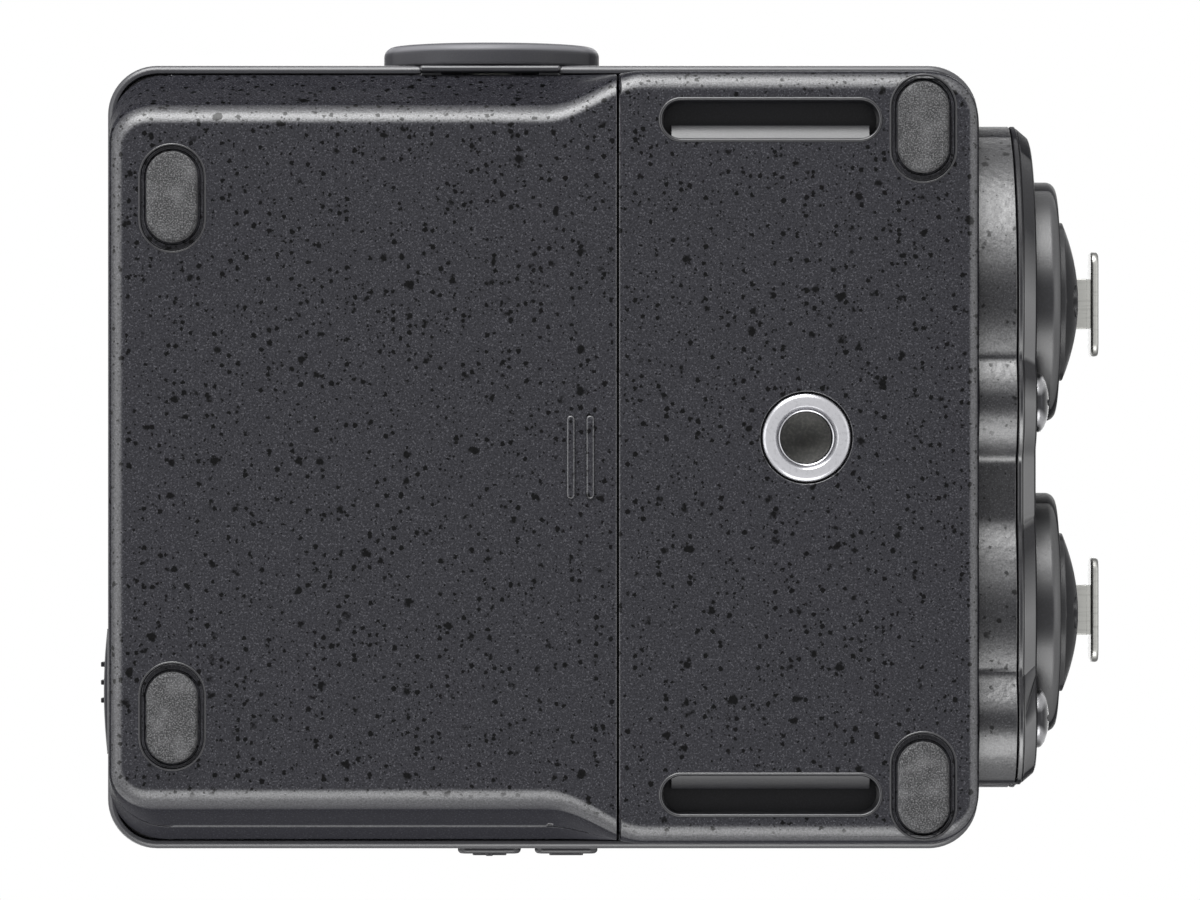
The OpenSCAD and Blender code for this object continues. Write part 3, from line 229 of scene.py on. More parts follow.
def sliced(obj, xs, ys):
    """Splits the faces along upright planes through later openings, so that no face has a hole in it."""
    bm = bmesh.new()
    bm.from_mesh(obj.data)
    planes = [(((x + MIDDLE_X) * MM, 0, 0), (1, 0, 0)) for x in xs]
    planes += [((0, (y + MIDDLE_Y) * MM, 0), (0, 1, 0)) for y in ys]
    for place, normal in planes:
        everything = bm.verts[:] + bm.edges[:] + bm.faces[:]
        bmesh.ops.bisect_plane(bm, geom=everything, plane_co=place, plane_no=normal)
    bm.to_mesh(obj.data)
    bm.free()
    return obj


def edged(obj, width=0.0, turn=None):
    """Rounds the edges sharper than a turn by a width, or only shades them sharp without one."""
    turn = radians(turn or (BEVEL_TURN if width else SHADE_TURN))
    for face in obj.data.polygons:
        face.use_smooth = True
    if width:
        edge = obj.modifiers.new("edges", "BEVEL")
        edge.width = width * MM
        edge.segments = 2
        edge.limit_method = "ANGLE"
        edge.angle_limit = turn
        edge.use_clamp_overlap = False
        edge.miter_outer = "MITER_ARC"
        edge.harden_normals = True
    else:
        obj.data.set_sharp_from_angle(angle=turn)
    weigh = obj.modifiers.new("normals", "WEIGHTED_NORMAL")
    weigh.keep_sharp = True


def dressed(obj, finish, body="root", stands_for=(), edge=0.0, turn=None):
    """Gives an object its edges, finish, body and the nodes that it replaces."""
    edged(obj, edge, turn)
    obj.data.materials.clear()
    obj.data.materials.append(FINISHES[finish])
    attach(obj, body)
    if stands_for:
        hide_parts(*stands_for)


def piece(name, form, finish, body="root", stands_for=(), edge=0.0, turn=None):
    """New dressed object from a form."""
    dressed(made(name, form), finish, body, stands_for, edge, turn)


# Finishes: procedural materials in millimetres of the object
def linear(r, g, b):
    """Linear colour, with full alpha, from screen values of 0 to 255."""
    def channel(c):
        c /= 255
        return c / 12.92 if c <= 0.04045 else ((c + 0.055) / 1.055) ** 2.4
    return channel(r), channel(g), channel(b), 1.0


def grey(value):
    return value, value, value, 1


def brighter(colour, step):
    return tuple(c + step for c in colour)


def grown(tree, kind, inputs=(), **settings):
    """New node with settings, whose inputs, by name or number, are linked to outputs or set to values."""
    node = tree.nodes.new(kind)
    for key, value in settings.items():
        setattr(node, key, value)
    for key, value in inputs.items() if isinstance(inputs, dict) else enumerate(inputs):
        if isinstance(value, bpy.types.NodeSocket):
            tree.links.new(value, node.inputs[key])
        else:
            node.inputs[key].default_value = value
    return node


def fed(tree, kind, *inputs, **settings):
    """First output of a new node."""
    node = grown(tree, kind, inputs, **settings)
    return node.outputs[0] if node.outputs else None


# Sockets of a colour mix, which share their names with those of its other kinds
MIX_A, MIX_B, MIX_RESULT = 6, 7, 2
FLECK_SOFT, FLECK_WOBBLE = (-0.02, 0.07), 0.35


class Shader:
    """A Principled material with the few node chains that the finishes share."""

    def __init__(self, name, colour, rough, metal=0.0, specular=0.3):
        self.material = bpy.data.materials.new(name)
        self.material.use_nodes = True
        self.material.diffuse_color = linear(*colour)
        self.tree = self.material.node_tree
        self.tree.nodes.clear()
        self.colour = linear(*colour)
        self.shine = specular
        self.bsdf = self.node("ShaderNodeBsdfPrincipled", {"Base Color": self.colour, "Roughness": rough,
                                                           "Metallic": metal, "Specular IOR Level": specular})
        self.node("ShaderNodeOutputMaterial", [self.bsdf.outputs[0]])
        self.place = self.scaled(self.node("ShaderNodeTexCoord").outputs["Object"], 1 / MM)

    def node(self, kind, inputs=(), **settings):
        return grown(self.tree, kind, inputs, **settings)

    def drive(self, socket, output):
        self.tree.links.new(output, self.bsdf.inputs[socket])

    def math(self, operation, *values):
        return fed(self.tree, "ShaderNodeMath", *values, operation=operation)

    def vector(self, operation, *values):
        return fed(self.tree, "ShaderNodeVectorMath", *values, operation=operation)

    def scaled(self, vector, factor):
        return self.node("ShaderNodeVectorMath", {0: vector, "Scale": factor}, operation="SCALE").outputs[0]

    def noise(self, size, detail=2.0, rough=0.5, place=None):
        """Noise with features of about this many millimetres."""
        return self.node("ShaderNodeTexNoise", {"Scale": 1 / size, "Detail": detail, "Roughness": rough,
                                                "Vector": place or self.place}).outputs["Fac"]

    def ramp(self, value, low, high):
        """0 below low, 1 above high."""
        spread = self.node("ShaderNodeMapRange", {"From Min": low, "From Max": high, "Value": value})
        return spread.outputs["Result"]

    def tint(self, mask, colour, amount=1.0):
        """Mixes a colour in where the mask is 1."""
        if amount != 1.0:
            mask = self.math("MULTIPLY", mask, amount)
        sources = {"Factor": mask, MIX_A: self.colour, MIX_B: linear(*colour)}
        self.colour = self.node("ShaderNodeMix", sources, data_type="RGBA").outputs[MIX_RESULT]
        self.drive("Base Color", self.colour)

    def flecks(self, cell, share, r_low, r_high, bend):
        """Mask of irregular flecks: a share of the cells holds one, with radii between two sizes."""
        wobble = self.node("ShaderNodeTexNoise", {"Scale": 1 / (cell * FLECK_WOBBLE), "Detail": 3,
                                                  "Vector": self.place})
        centred = self.vector("SUBTRACT", wobble.outputs["Color"], (0.5, 0.5, 0.5))
        moved = self.vector("ADD", self.place, self.scaled(centred, bend))
        cells = self.node("ShaderNodeTexVoronoi", {"Scale": 1 / cell, "Vector": moved}).outputs
        draw = fed(self.tree, "ShaderNodeSeparateColor", cells["Color"])
        radius = self.node("ShaderNodeMapRange", {"From Min": 1 - share, "To Min": r_low / cell,
                                                  "To Max": r_high / cell, "Value": draw}).outputs["Result"]
        inside = self.ramp(self.math("SUBTRACT", radius, cells["Distance"]), *FLECK_SOFT)
        return self.math("MULTIPLY", inside, self.math("GREATER_THAN", draw, 1 - share))

    def facing(self, axis):
        """Share of the face's normal along an axis."""
        normal = self.node("ShaderNodeNewGeometry").outputs["Normal"]
        return self.node("ShaderNodeSeparateXYZ", [normal]).outputs[axis]

    def by_slope(self, stops, axis="Z"):
        """Value by how far a face turns to an axis: stops are (share of its normal along the axis, value)."""
        graph = self.node("ShaderNodeValToRGB", [self.math("ABSOLUTE", self.facing(axis))])
        elements = graph.color_ramp.elements
        elements.remove(elements[1])
        for k, (at, value) in enumerate(stops):
            element = elements.new(at) if k else elements[0]
            element.position = at
            element.color = grey(value)
        return graph.outputs[0]

    def shiny(self, value):
        """Lets a value drive the strength of the reflections."""
        self.shine = value
        self.drive("Specular IOR Level", value)

    def weaker(self, mask, share):
        """Takes a share off the reflections where the mask is 1."""
        self.shiny(self.math("MULTIPLY", self.shine, self.math("MULTIPLY_ADD", mask, -share, 1.0)))

    def towards(self, side, low, high):
        """Mask of faces turned to one side along Y, -1 or 1, rising between two shares of their normal."""
        along = self.facing("Y") if side > 0 else self.math("MULTIPLY", self.facing("Y"), -1)
        return self.ramp(along, low, high)

    def bump(self, height, depth):
        """Relief of this many millimetres from a height between 0 and 1."""
        relief = self.node("ShaderNodeBump", {"Distance": depth * MM, "Height": height})
        self.drive("Normal", relief.outputs[0])

    def rough(self, mask, low, high):
        """Lets a mask drive the roughness between two values."""
        spread = self.node("ShaderNodeMapRange", {"To Min": low, "To Max": high, "Value": mask})
        self.drive("Roughness", spread.outputs["Result"])


# Strength of the reflections on steep faces
STEEP = 0.003
# Flecks of the paint: cell, share of the cells, least and greatest radius, and bend of their outlines
FLECKS = ((0.42, 0.8, 0.05, 0.13, 0.2), (0.76, 1.0, 0.1, 0.3, 0.45), (2.1, 1.0, 0.25, 0.52, 1.1))
GRAIN_SIZE, GLINT_SIZE, PATCH_SIZE, HIDE_SIZE, GRAIN_DEPTH = 0.2, 0.17, 7.0, 0.9, 0.008


def moulded(name, colour, lighter, rough, grain, depth, specular=0.3, patch=6.0, polish=0.0, steep=STEEP,
            dim=None):
    """Moulded plastic: fine grain, faint patches, a roughness that follows them, and perhaps polished edges.

    A dim is a side along Y, the shares of the normal between which faces begin to count as turned to it,
    and the share of their reflections that they lose.
    """
    s = Shader(name, colour, rough, specular=specular)
    fine = s.noise(grain, 3.0)
    broad = s.noise(patch, 2.0)
    s.tint(s.ramp(fine, 0.45, 0.7), lighter, 0.5)
    s.tint(s.ramp(broad, 0.45, 0.75), lighter, 0.2)
    if polish:
        s.shiny(s.by_slope(((0.4, steep), (0.7, polish), (0.96, polish), (0.995, specular))))
    if dim:
        side, low, high, share = dim
        s.weaker(s.towards(side, low, high), share)
    s.rough(broad, rough - 0.04, rough + 0.05)
    s.bump(fine, depth)
    return s


def speckled(name, colour, lighter, black, rough, gloss, polish, share, dull=0.52, hide=0.0):
    """Painted shell: grainy dark base, polished on rounded edges, dull on steep sides, with black flecks,
    painted shade on faces turned to -Y and painted light on faces turned to +Y, which lose their flecks.

    Faces turned down by less than the dull share keep no shine. A hide is a soft relief like leather's.
    """
    s = Shader(name, colour, rough, specular=gloss)
    grain = s.ramp(s.noise(GRAIN_SIZE, 3.0, 0.6), 0.36, 0.66)
    s.tint(s.ramp(s.noise(PATCH_SIZE, 2.0), 0.4, 0.75), lighter, 0.06)
    s.tint(grain, lighter, 0.7)
    s.tint(s.ramp(s.noise(GLINT_SIZE, 2.0), 0.57, 0.68), brighter(lighter, 56), 0.45)
    # Painted shade: faces turned to -Y are mixed a little towards the black
    s.tint(s.towards(-1, 0.7, 0.95), black, 0.15)
    # Painted light: faces turned to +Y are mixed towards a paler colour
    s.tint(s.towards(1, 0.5, 0.9), brighter(lighter, 14), 0.5)
    flecks = None
    for cell, part, *sizes in FLECKS:
        layer = s.flecks(cell, part * share, *sizes)
        flecks = s.math("MAXIMUM", flecks, layer) if flecks else layer
    # Painted light: the flecks are taken off the faces turned to +Y
    flecks = s.math("MULTIPLY", flecks, s.math("SUBTRACT", 1.0, s.towards(1, 0.3, 0.65)))
    s.tint(flecks, black)
    s.shiny(s.by_slope(((dull, STEEP), (0.66, 0.75 * polish), (0.82, polish), (0.975, polish),
                        (0.999, gloss))))
    s.shiny(s.math("MULTIPLY", s.shine, s.math("MULTIPLY_ADD", grain, 0.5, 0.85)))
    s.weaker(flecks, 0.6)
    s.rough(grain, rough - 0.04, rough + 0.06)
    if hide:
        s.bump(s.noise(HIDE_SIZE, 2.0), hide)
    else:
        s.bump(grain, GRAIN_DEPTH)
    return s


def metal(name, colour, rough, lines, depth, axis):
    """Turned or brushed metal: fine lines across an axis."""
    s = Shader(name, colour, rough, metal=1.0, specular=0.5)
    brushed = s.noise(lines, 3.0, 0.6, s.vector("MULTIPLY", s.place, axis))
    s.tint(s.ramp(brushed, 0.5, 0.8), tuple(c * 0.72 for c in colour), 0.5)
    s.rough(brushed, rough - 0.05, rough + 0.1)
    s.bump(brushed, depth)
    return s


def pressed(name, colour, dark, rough):
    """Pressed sheet steel with painted shade: bright on its level faces and darker on its upright ones."""
    s = metal(name, colour, rough, lines=0.3, depth=0.006, axis=(0.08, 1, 1))
    # Painted shade: upright faces are mixed towards the dark colour
    s.tint(s.by_slope(((0.5, 1.0), (0.9, 0.0))), dark)
    return s


def polished(name, colour, dark, rough):
    """Polished screw with a painted reflection: two bright bands beside a dark middle, as under a pair of
    soft boxes.
    """
    s = metal(name, colour, rough, lines=0.25, depth=0.003, axis=(1, 1, 1))
    # Painted reflection: the dark colour goes where the normal turns little or far towards Y, leaving two
    # bright bands between
    s.tint(s.by_slope(((0.2, 1.0), (0.4, 0.0), (0.65, 0.0), (0.85, 1.0)), "Y"), dark)
    return s


def bevelled(name, colour, side, ring, rough):
    """Dial plastic with painted light: paler towards its upright sides, with a painted highlight band on the
    rounded front edge.
    """
    s = moulded(name, colour, brighter(colour, 10), rough, grain=0.14, depth=0.004, specular=0.26,
                polish=0.26)
    # Painted light: upright faces are mixed towards the paler side colour
    s.tint(s.by_slope(((0.2, 1.0), (0.95, 0.0))), side, 0.7)
    # Painted highlight: a pale band where the normal turns part way to Y, on the rounded front edge
    s.tint(s.by_slope(((0.2, 0.0), (0.45, 1.0), (0.7, 1.0), (0.92, 0.0)), "Y"), ring)
    return s


def glossy(name, colour, rough, coat, specular=0.4):
    """Clear-coated or smoked plastic with faint rubbing marks in its gloss."""
    s = Shader(name, colour, rough, specular=specular)
    s.bsdf.inputs["Coat Weight"].default_value = coat
    s.bsdf.inputs["Coat Roughness"].default_value = 0.06
    marks = s.noise(9.0, 4.0, 0.65)
    s.tint(s.ramp(marks, 0.5, 0.8), tuple(min(255, c * 1.25 + 3) for c in colour), 0.4)
    s.rough(marks, rough, rough + 0.1)
    s.bump(marks, 0.004)
    return s


def circuit(name, colour, trace, solder):
    """Solder mask with a grid of traces and pads."""
    s = Shader(name, colour, 0.35, specular=0.4)
    bricks = s.node("ShaderNodeTexBrick", {"Scale": 0.22, "Mortar Size": 0.03, "Vector": s.place})
    weave = bricks.outputs["Fac"]
    s.tint(s.math("GREATER_THAN", weave, 0.5), trace, 0.8)
    s.tint(s.flecks(2.4, 0.4, 0.3, 0.5, 0.0), solder)
    s.bump(weave, 0.03)
    return s


def sleeve(name, colour, lighter):
    """Plain dark shrink sleeve with faint creases."""
    s = Shader(name, colour, 0.3, specular=0.5)
    creases = s.noise(3.0, 3.0)
    s.tint(s.ramp(creases, 0.5, 0.8), lighter, 0.6)
    s.rough(creases, 0.24, 0.36)
    s.bump(creases, 0.02)
    return s


FINISHES = {}


def finish(kind, name, *colours, **values):
    FINISHES[name] = kind(name, *colours, **values).material


# Both speckled finishes carry painted shade on faces turned to -Y and painted light on faces turned to +Y
finish(speckled, "speckled_shell", (34, 34, 38), (54, 54, 60), (10, 10, 11), rough=0.38, gloss=0.2,
       polish=1.05, share=0.63)
finish(speckled, "collar_shell", (32, 32, 35), (42, 42, 46), (14, 14, 15), rough=0.36, gloss=0.4,
       polish=1.3, share=0.2, dull=0.38, hide=0.05)
finish(moulded, "recess_shell", (32, 32, 35), (48, 48, 53), rough=0.38, grain=0.18, depth=0.006,
       specular=0.2, polish=0.95, dim=(1, 0.2, 0.5, 0.6))
finish(moulded, "upper_shell", (54, 54, 58), (70, 70, 74), rough=0.36, grain=0.16, depth=0.005,
       polish=0.9, steep=0.14)
finish(moulded, "foot_rubber", (58, 58, 59), (170, 170, 172), rough=0.72, grain=0.15, depth=0.04,
       specular=0.2, patch=2.0)
CONNECTOR = dict(colour=(34, 34, 37), lighter=(54, 54, 58), rough=0.37, grain=0.2, depth=0.01, specular=0.4)
finish(moulded, "connector_plastic", **CONNECTOR, polish=1.15)
finish(moulded, "plate_plastic", **CONNECTOR, polish=1.9, dim=(-1, 0.0, 0.3, 0.85))
finish(moulded, "insert_plastic", (62, 62, 64), (78, 78, 80), rough=0.38, grain=0.2, depth=0.006, polish=0.5)
finish(moulded, "bore_grey", (84, 84, 82), (124, 123, 118), rough=0.5, grain=0.3, depth=0.01,
       specular=0.2, patch=1.5)
finish(moulded, "symbol_pale", (196, 196, 198), (206, 206, 208), rough=0.45, grain=0.2, depth=0.004,
       specular=0.2)
KEY_GRAIN = dict(grain=0.14, depth=0.006)
finish(moulded, "trim_black", (26, 26, 28), (38, 38, 40), rough=0.4, specular=0.18, **KEY_GRAIN)
finish(moulded, "key_grey", (44, 44, 47), (58, 58, 62), rough=0.4, specular=0.22, polish=0.7, **KEY_GRAIN)
finish(moulded, "key_red", (138, 20, 20), (156, 32, 30), rough=0.38, specular=0.2, **KEY_GRAIN)
finish(moulded, "display_black", (14, 15, 17), (20, 21, 23), rough=0.3, grain=0.3, depth=0.002)
finish(moulded, "component_black", (30, 30, 32), (48, 48, 50), rough=0.5, grain=0.2, depth=0.01)
finish(metal, "insert_metal", (186, 186, 190), rough=0.28, lines=0.35, depth=0.006, axis=(1, 1, 0.05))
finish(metal, "contact_metal", (205, 176, 112), rough=0.22, lines=0.3, depth=0.004, axis=(0.1, 1, 1))
finish(metal, "component_metal", (188, 187, 183), rough=0.3, lines=0.4, depth=0.004, axis=(1, 0.1, 1))
# The latch's second colour is painted shade on its upright faces
finish(pressed, "latch_steel", (176, 176, 172), (88, 88, 86), rough=0.34)
# The screw's second colour is the dark part of a painted reflection
finish(polished, "black_screw", (150, 150, 152), (60, 60, 62), rough=0.26)
# The dial's second and third colours are painted light on its upright sides and a painted highlight band on
# its front edge
finish(bevelled, "dial_plastic", (65, 65, 69), (96, 96, 100), (128, 128, 132), rough=0.38)
finish(glossy, "lamp_red", (170, 24, 20), rough=0.15, coat=0.6)
finish(glossy, "window", (7, 8, 9), rough=0.1, coat=0.0, specular=0.1)
finish(circuit, "board_green", (22, 74, 44), (46, 118, 74), (186, 178, 140))
finish(sleeve, "cell_jacket", (34, 36, 40), (48, 50, 55))


# Underside: one tray whose side swells by an S-curve near the cover seam, cut into cover and case
BASE_Z, SKIN = 0.8, 1.2
SEAM_X, FLARE_X0, FLARE_X1 = 7.4, 0.3, 10.0
FLARE_STEPS, CORNER_STEPS, FILLET_STEPS = 36, 14, 14
TRAY_STEP, TRAY_END, RIM_LIP = 1.4, 0.85, 2.6
FADE_FROM, FADE_OVER = 0.4, 0.35
COVER_CURVE = ((6.7, BASE_Z), (5.0, BASE_Z), (4.1, 3.3), (2.95, 6.1))
CASE_FILLET, CASE_STEP, CASE_WALL_Z = 2.1, 1.3, 3.0
END_FILLET, END_STEP, FAR_FILLET, FAR_STEP = 1.55, 1.25, 1.1, 0.92
CREASE = ((2.91, 6.2), (2.83, 6.25), (2.74, 6.31), (2.68, 6.42), (1.44, 8.85))
CASE_RIM_Z, CORNER_MORE, PLUS_WIDER = 8.85, 0.9, 0.2


def bezier(points, t):
    weights = ((1 - t) ** 3, 3 * t * (1 - t) ** 2, 3 * t * t * (1 - t), t ** 3)
    return tuple(sum(w * p[i] for w, p in zip(weights, points)) for i in (0, 1))


def tray_profile():
    """Rows from base to inner floor, each of (inset, height) pairs.

    They are for the cover sides, the +Y side's offset, the case sides, the power end and the connector end.
    """
    rows = []
    for k in range(FILLET_STEPS + 1):
        t = k / FILLET_STEPS
        rise, run = 1 - cos(pi / 2 * t), 1 - sin(pi / 2 * t)
        cover = bezier(COVER_CURVE, t)
        fillets = ((CASE_STEP, CASE_FILLET), (END_STEP, END_FILLET), (FAR_STEP, FAR_FILLET))
        rows.append((cover, (PLUS_WIDER * (1 - t), 0),
                     *((step + fillet * run, BASE_Z + fillet * rise) for step, fillet in fillets)))
    wall_end, band_end = COVER_CURVE[-1], CREASE[-1]
    for crease in CREASE:
        t = (crease[1] - wall_end[1]) / (band_end[1] - wall_end[1])
        z = CASE_WALL_Z + (CASE_RIM_Z - CASE_WALL_Z) * t
        plain = (wall_end[0] + (band_end[0] - wall_end[0]) * t, crease[1])
        rows.append((plain, (crease[0] - plain[0], 0), (CASE_STEP, z),
                     (END_STEP + (TRAY_END - END_STEP) * t, z), (FAR_STEP + (TRAY_END - FAR_STEP) * t, z)))
    floor = BASE_Z + SKIN
    for side, end, z in ((TRAY_STEP, TRAY_END, SEAM_Z - 0.06), (TRAY_STEP + 0.07, TRAY_END + 0.07, SEAM_Z),
                         (RIM_LIP, RIM_LIP, SEAM_Z)):
        rows.append(((side, z), (0, 0), (side, z), (end, z), (end, z)))
    cover = (COVER_CURVE[0][0] - SKIN / 2, floor)
    rows.append((cover, (0, 0), (CASE_STEP + CASE_FILLET, floor), (END_STEP + END_FILLET, floor),
                 (FAR_STEP + FAR_FILLET, floor)))
    return rows


def tray_half(cover, crease, case, end, far, r):
    """Points of one ring on the +Y side, from the power end to the connector end."""
    points = []
    for a in range(CORNER_STEPS + 1):
        t = a / CORNER_STEPS
        turn = radians(180 - 90 * t)
        points.append((-HL + end[0] + r + r * cos(turn),
                       HW - cover[0] - crease[0] * t - r + r * sin(turn),
                       end[1] + (cover[1] - end[1]) * smooth(t)))
    for i in range(FLARE_STEPS + 1):
        t = i / FLARE_STEPS
        w = smooth(t)
        fade = 1 - smooth((t - FADE_FROM) / FADE_OVER)
        inset = cover[0] + (case[0] - cover[0]) * w + crease[0] * fade
        points.append((FLARE_X0 + (FLARE_X1 - FLARE_X0) * t, HW - inset, cover[1] + (case[1] - cover[1]) * w))
    for a in range(CORNER_STEPS + 1):
        t = a / CORNER_STEPS
        turn = radians(90 - 90 * t)
        points.append((HL - far[0] - r + r * cos(turn), HW - case[0] - r + r * sin(turn),
                       case[1] + (far[1] - case[1]) * smooth(t)))
    return points


def tray_ring(cover, crease, case, end, far, r):
    plus = tray_half(cover, crease, case, end, far, r)
    minus = tray_half(cover, (0, 0), case, end, far, r)
    return plus[::-1] + [(x, -y, z) for x, y, z in minus]


def tray():
    rows = tray_profile()
    base_r, rim_r = 2.4, CORNER_R - RIM_INSET + CORNER_MORE
    rings = []
    for k, row in enumerate(rows):
        t = min(1, k / FILLET_STEPS)
        r = base_r + (rim_r - base_r) * t if k < len(rows) - 2 else base_r + 0.6
        rings.append(tray_ring(*row, r))
    return loft(rings)


FOOT_L, FOOT_W, FOOT_TOP, FOOT_ROUND = 8.9, 5.0, 1.6, 0.45
MOAT, MOAT_DEPTH, MOAT_SHIFT, GROOVE, GROOVE_DEPTH = 0.55, 0.42, 0.12, 0.22, 0.7
COVER_FOOT, CASE_FOOT = (-36.1, 25.4), (37.2, 32.2)
RIM_LINE = ((0.27, 0.1), (0.25, 0.0), (0.17, -0.06), (0.1, -0.06), (0.02, 0.0), (0.0, 0.1))
PAST = 1.0


def moat_outline(grow):
    return stadium(FOOT_L + 2 * (MOAT + MOAT_SHIFT + grow), FOOT_W + 2 * (MOAT + grow))


def moat_place(place):
    return place[0], place[1] - MOAT_SHIFT, 0


def foot_moats(place):
    """Cutters for the shallow moat and the narrow groove around one pair of feet."""
    groove = stadium(FOOT_L + 2 * GROOVE, FOOT_W + 2 * GROOVE)
    cuts = [through(moat_outline(0), BASE_Z - PAST, BASE_Z + MOAT_DEPTH, "+z", moat_place(place)),
            through(groove, BASE_Z - PAST, BASE_Z + GROOVE_DEPTH, "+z", (*place, 0))]
    return cuts + [mirrored(cut) for cut in cuts]


def rim_line(outline, size=1.0):
    """Low raised line around an opening, whose outline is given by a growth."""
    rings = [level(outline(grow * size), BASE_Z + z * size) for grow, z in RIM_LINE]
    return loft(rings + rings[:1], False, False)


def foot(place):
    outline = lambda i: stadium(FOOT_L - 2 * i, FOOT_W - 2 * i)
    return put(pad(outline, 0, FOOT_TOP, FOOT_ROUND, 0.05, 6), "+z", (*place, 0))


def beyond(x0, x1):
    return block((x0, -BODY_W, -5), (x1, BODY_W, 60))


EDGE = 0.11
GRIP_L, GRIP_W, GRIP_H, GRIP_ROUND, GRIP_X, GRIP_PITCH = 8.2, 0.85, 0.3, 0.22, 4.7, -1.9
cover = sliced(made("battery_cover_moulding", tray()), [COVER_FOOT[0]], [-COVER_FOOT[1], COVER_FOOT[1]])
carved(cover, beyond(-BODY_L, SEAM_X - SEAM_GAP / 2), how="INTERSECT")
carved(cover, *foot_moats(COVER_FOOT))
dressed(cover, "speckled_shell", "cover", ["battery_cover"], edge=EDGE)
grip = lambda i: rrect(GRIP_W - 2 * i, GRIP_L - 2 * i, GRIP_W / 2 - 0.02 - i)
ribs = [put(pad(grip, BASE_Z - GRIP_H, BASE_Z + 0.4, GRIP_ROUND), "+z", (GRIP_X + k * GRIP_PITCH, 0, 0))
        for k in (0, 1)]
piece("cover_grip_ribs", joined(*ribs), "speckled_shell", "cover", turn=50)

# Fixed half of the underside, with its strap recesses
STRAP_X, STRAP_Y, STRAP_L, STRAP_W, STRAP_DEPTH = 22.3, 32.95, 21.4, 3.92, 3.2
POCKET_T, POCKET_ROUND, POCKET_GAP, STRAP_RIM, RIM_SHIFT = 0.5, 0.25, 0.02, 1.5, 0.13
TRIPOD, INSERT_D, INSERT_BORE, INSERT_MOUTH, INSERT_L = (25.8, -1.9), 8.66, 5.2, 6.0, 7.6
INSERT_HOLE = INSERT_D / 2 + 0.16
lower = sliced(made("fixed_underside", tray()), [STRAP_X, TRIPOD[0], CASE_FOOT[0]],
               [-STRAP_Y, -CASE_FOOT[1], TRIPOD[1], CASE_FOOT[1], STRAP_Y])
carved(lower, beyond(SEAM_X + SEAM_GAP / 2, BODY_L), how="INTERSECT")


def strap_outline(grow):
    return [(y, x) for x, y in stadium(STRAP_L + 2 * grow, STRAP_W + 2 * grow, 32)][::-1]


def strap_mouth(side):
    place = (STRAP_X, side * STRAP_Y, 0)
    return through(strap_outline(0), BASE_Z - PAST, BASE_Z + SKIN + PAST, "+z", place)


def strap_pocket(side):
    """Cup behind the mouth of a strap recess."""
    brim, floor = BASE_Z + SKIN / 2, BASE_Z + STRAP_DEPTH
    outside = [level(strap_outline(POCKET_T), z) for z in (brim, floor + POCKET_T)]
    steps = ((-POCKET_ROUND, floor), (POCKET_GAP, floor - POCKET_ROUND), (POCKET_GAP, brim))
    inside = [level(strap_outline(grow), z) for grow, z in steps]
    cup = loft(outside, False, True)
    bowl = loft(inside, True, False)
    lip = loft([inside[-1], outside[0]], False, False)
    return put(joined(cup, bowl, lip), "+z", (STRAP_X, side * STRAP_Y, 0))


carved(lower, strap_mouth(-1), strap_mouth(1))
carved(lower, *foot_moats(CASE_FOOT), through(circle(INSERT_HOLE, 72), -2, 6, "+z", (*TRIPOD, BASE_Z)))
dressed(lower, "speckled_shell", "root", ["bottom_case"], edge=EDGE)
pockets = joined(strap_pocket(-1), strap_pocket(1))
piece("strap_pockets", pockets, "recess_shell")
rim = rim_line(lambda grow: strap_outline(grow - RIM_SHIFT), STRAP_RIM)
rims = both_sides(put(rim, "+z", (STRAP_X, STRAP_Y, 0)))
piece("strap_rims", rims, "recess_shell", turn=60)

RAMP_L, RAMP_R, RAMP_FROM, RAMP_TO, RAMP_LAP = 19.4, 5.5, 24, 42, 0.3
ramp_y, ramp_z = STRAP_Y - STRAP_W / 2, BASE_Z + 0.25
ramp_back = BASE_Z + STRAP_DEPTH + RAMP_LAP
slope = arc(0, 0, RAMP_R, RAMP_FROM, RAMP_TO, 8)
ramp_rim = [(ramp_y - RAMP_LAP, ramp_z)]
ramp_rim += [(ramp_y + y - slope[0][1], ramp_z + slope[0][0] - x) for x, y in slope]
ramp_rim += [(ramp_rim[-1][0] + 0.05, ramp_back), (ramp_y - RAMP_LAP, ramp_back)]
ramp = loft([[(STRAP_X + s * RAMP_L / 2, y, z) for y, z in ramp_rim] for s in (-1, 1)])
piece("strap_ramps", both_sides(ramp), "recess_shell", edge=0.06)

for name, body, place in (("cover_feet", "cover", COVER_FOOT), ("case_feet", "root", CASE_FOOT)):
    piece(name + "_rubber", both_sides(foot(place)), "foot_rubber", body, [name], turn=50)
    rims = both_sides(put(rim_line(moat_outline), "+z", moat_place(place)))
    piece(name + "_rims", rims, "recess_shell", body, turn=60)

# Tripod insert: chamfered mouth, thread turns, and a dull plug that closes the bore
INSERT_PROUD, THREAD, THREAD_DEPTH, THREAD_FROM, BLIND = 0.1, 1.27, 0.45, 0.6, 1.0
insert_r, bore_r, mouth_r = INSERT_D / 2, INSERT_BORE / 2, INSERT_MOUTH / 2
profile = [(0, INSERT_L), (insert_r, INSERT_L), (insert_r, 0.3), (insert_r - 0.25, 0.05), (insert_r - 0.4, 0),
           (mouth_r + 0.12, 0), (mouth_r, 0.08), (bore_r + 0.1, 0.55)]
for k in range(int((INSERT_L - BLIND - THREAD_FROM) / THREAD)):
    z = THREAD_FROM + k * THREAD
    root_r = bore_r + THREAD_DEPTH
    profile += [(bore_r, z), (bore_r, z + 0.25), (root_r, z + 0.7), (root_r, z + 0.85)]
profile += [(bore_r, INSERT_L - BLIND), (0, INSERT_L - BLIND)]
insert = put(turned(profile, 64), "+z", (*TRIPOD, BASE_Z - INSERT_PROUD))
piece("tripod_thread", insert, "insert_metal", "root", ["tripod_insert"], turn=30)
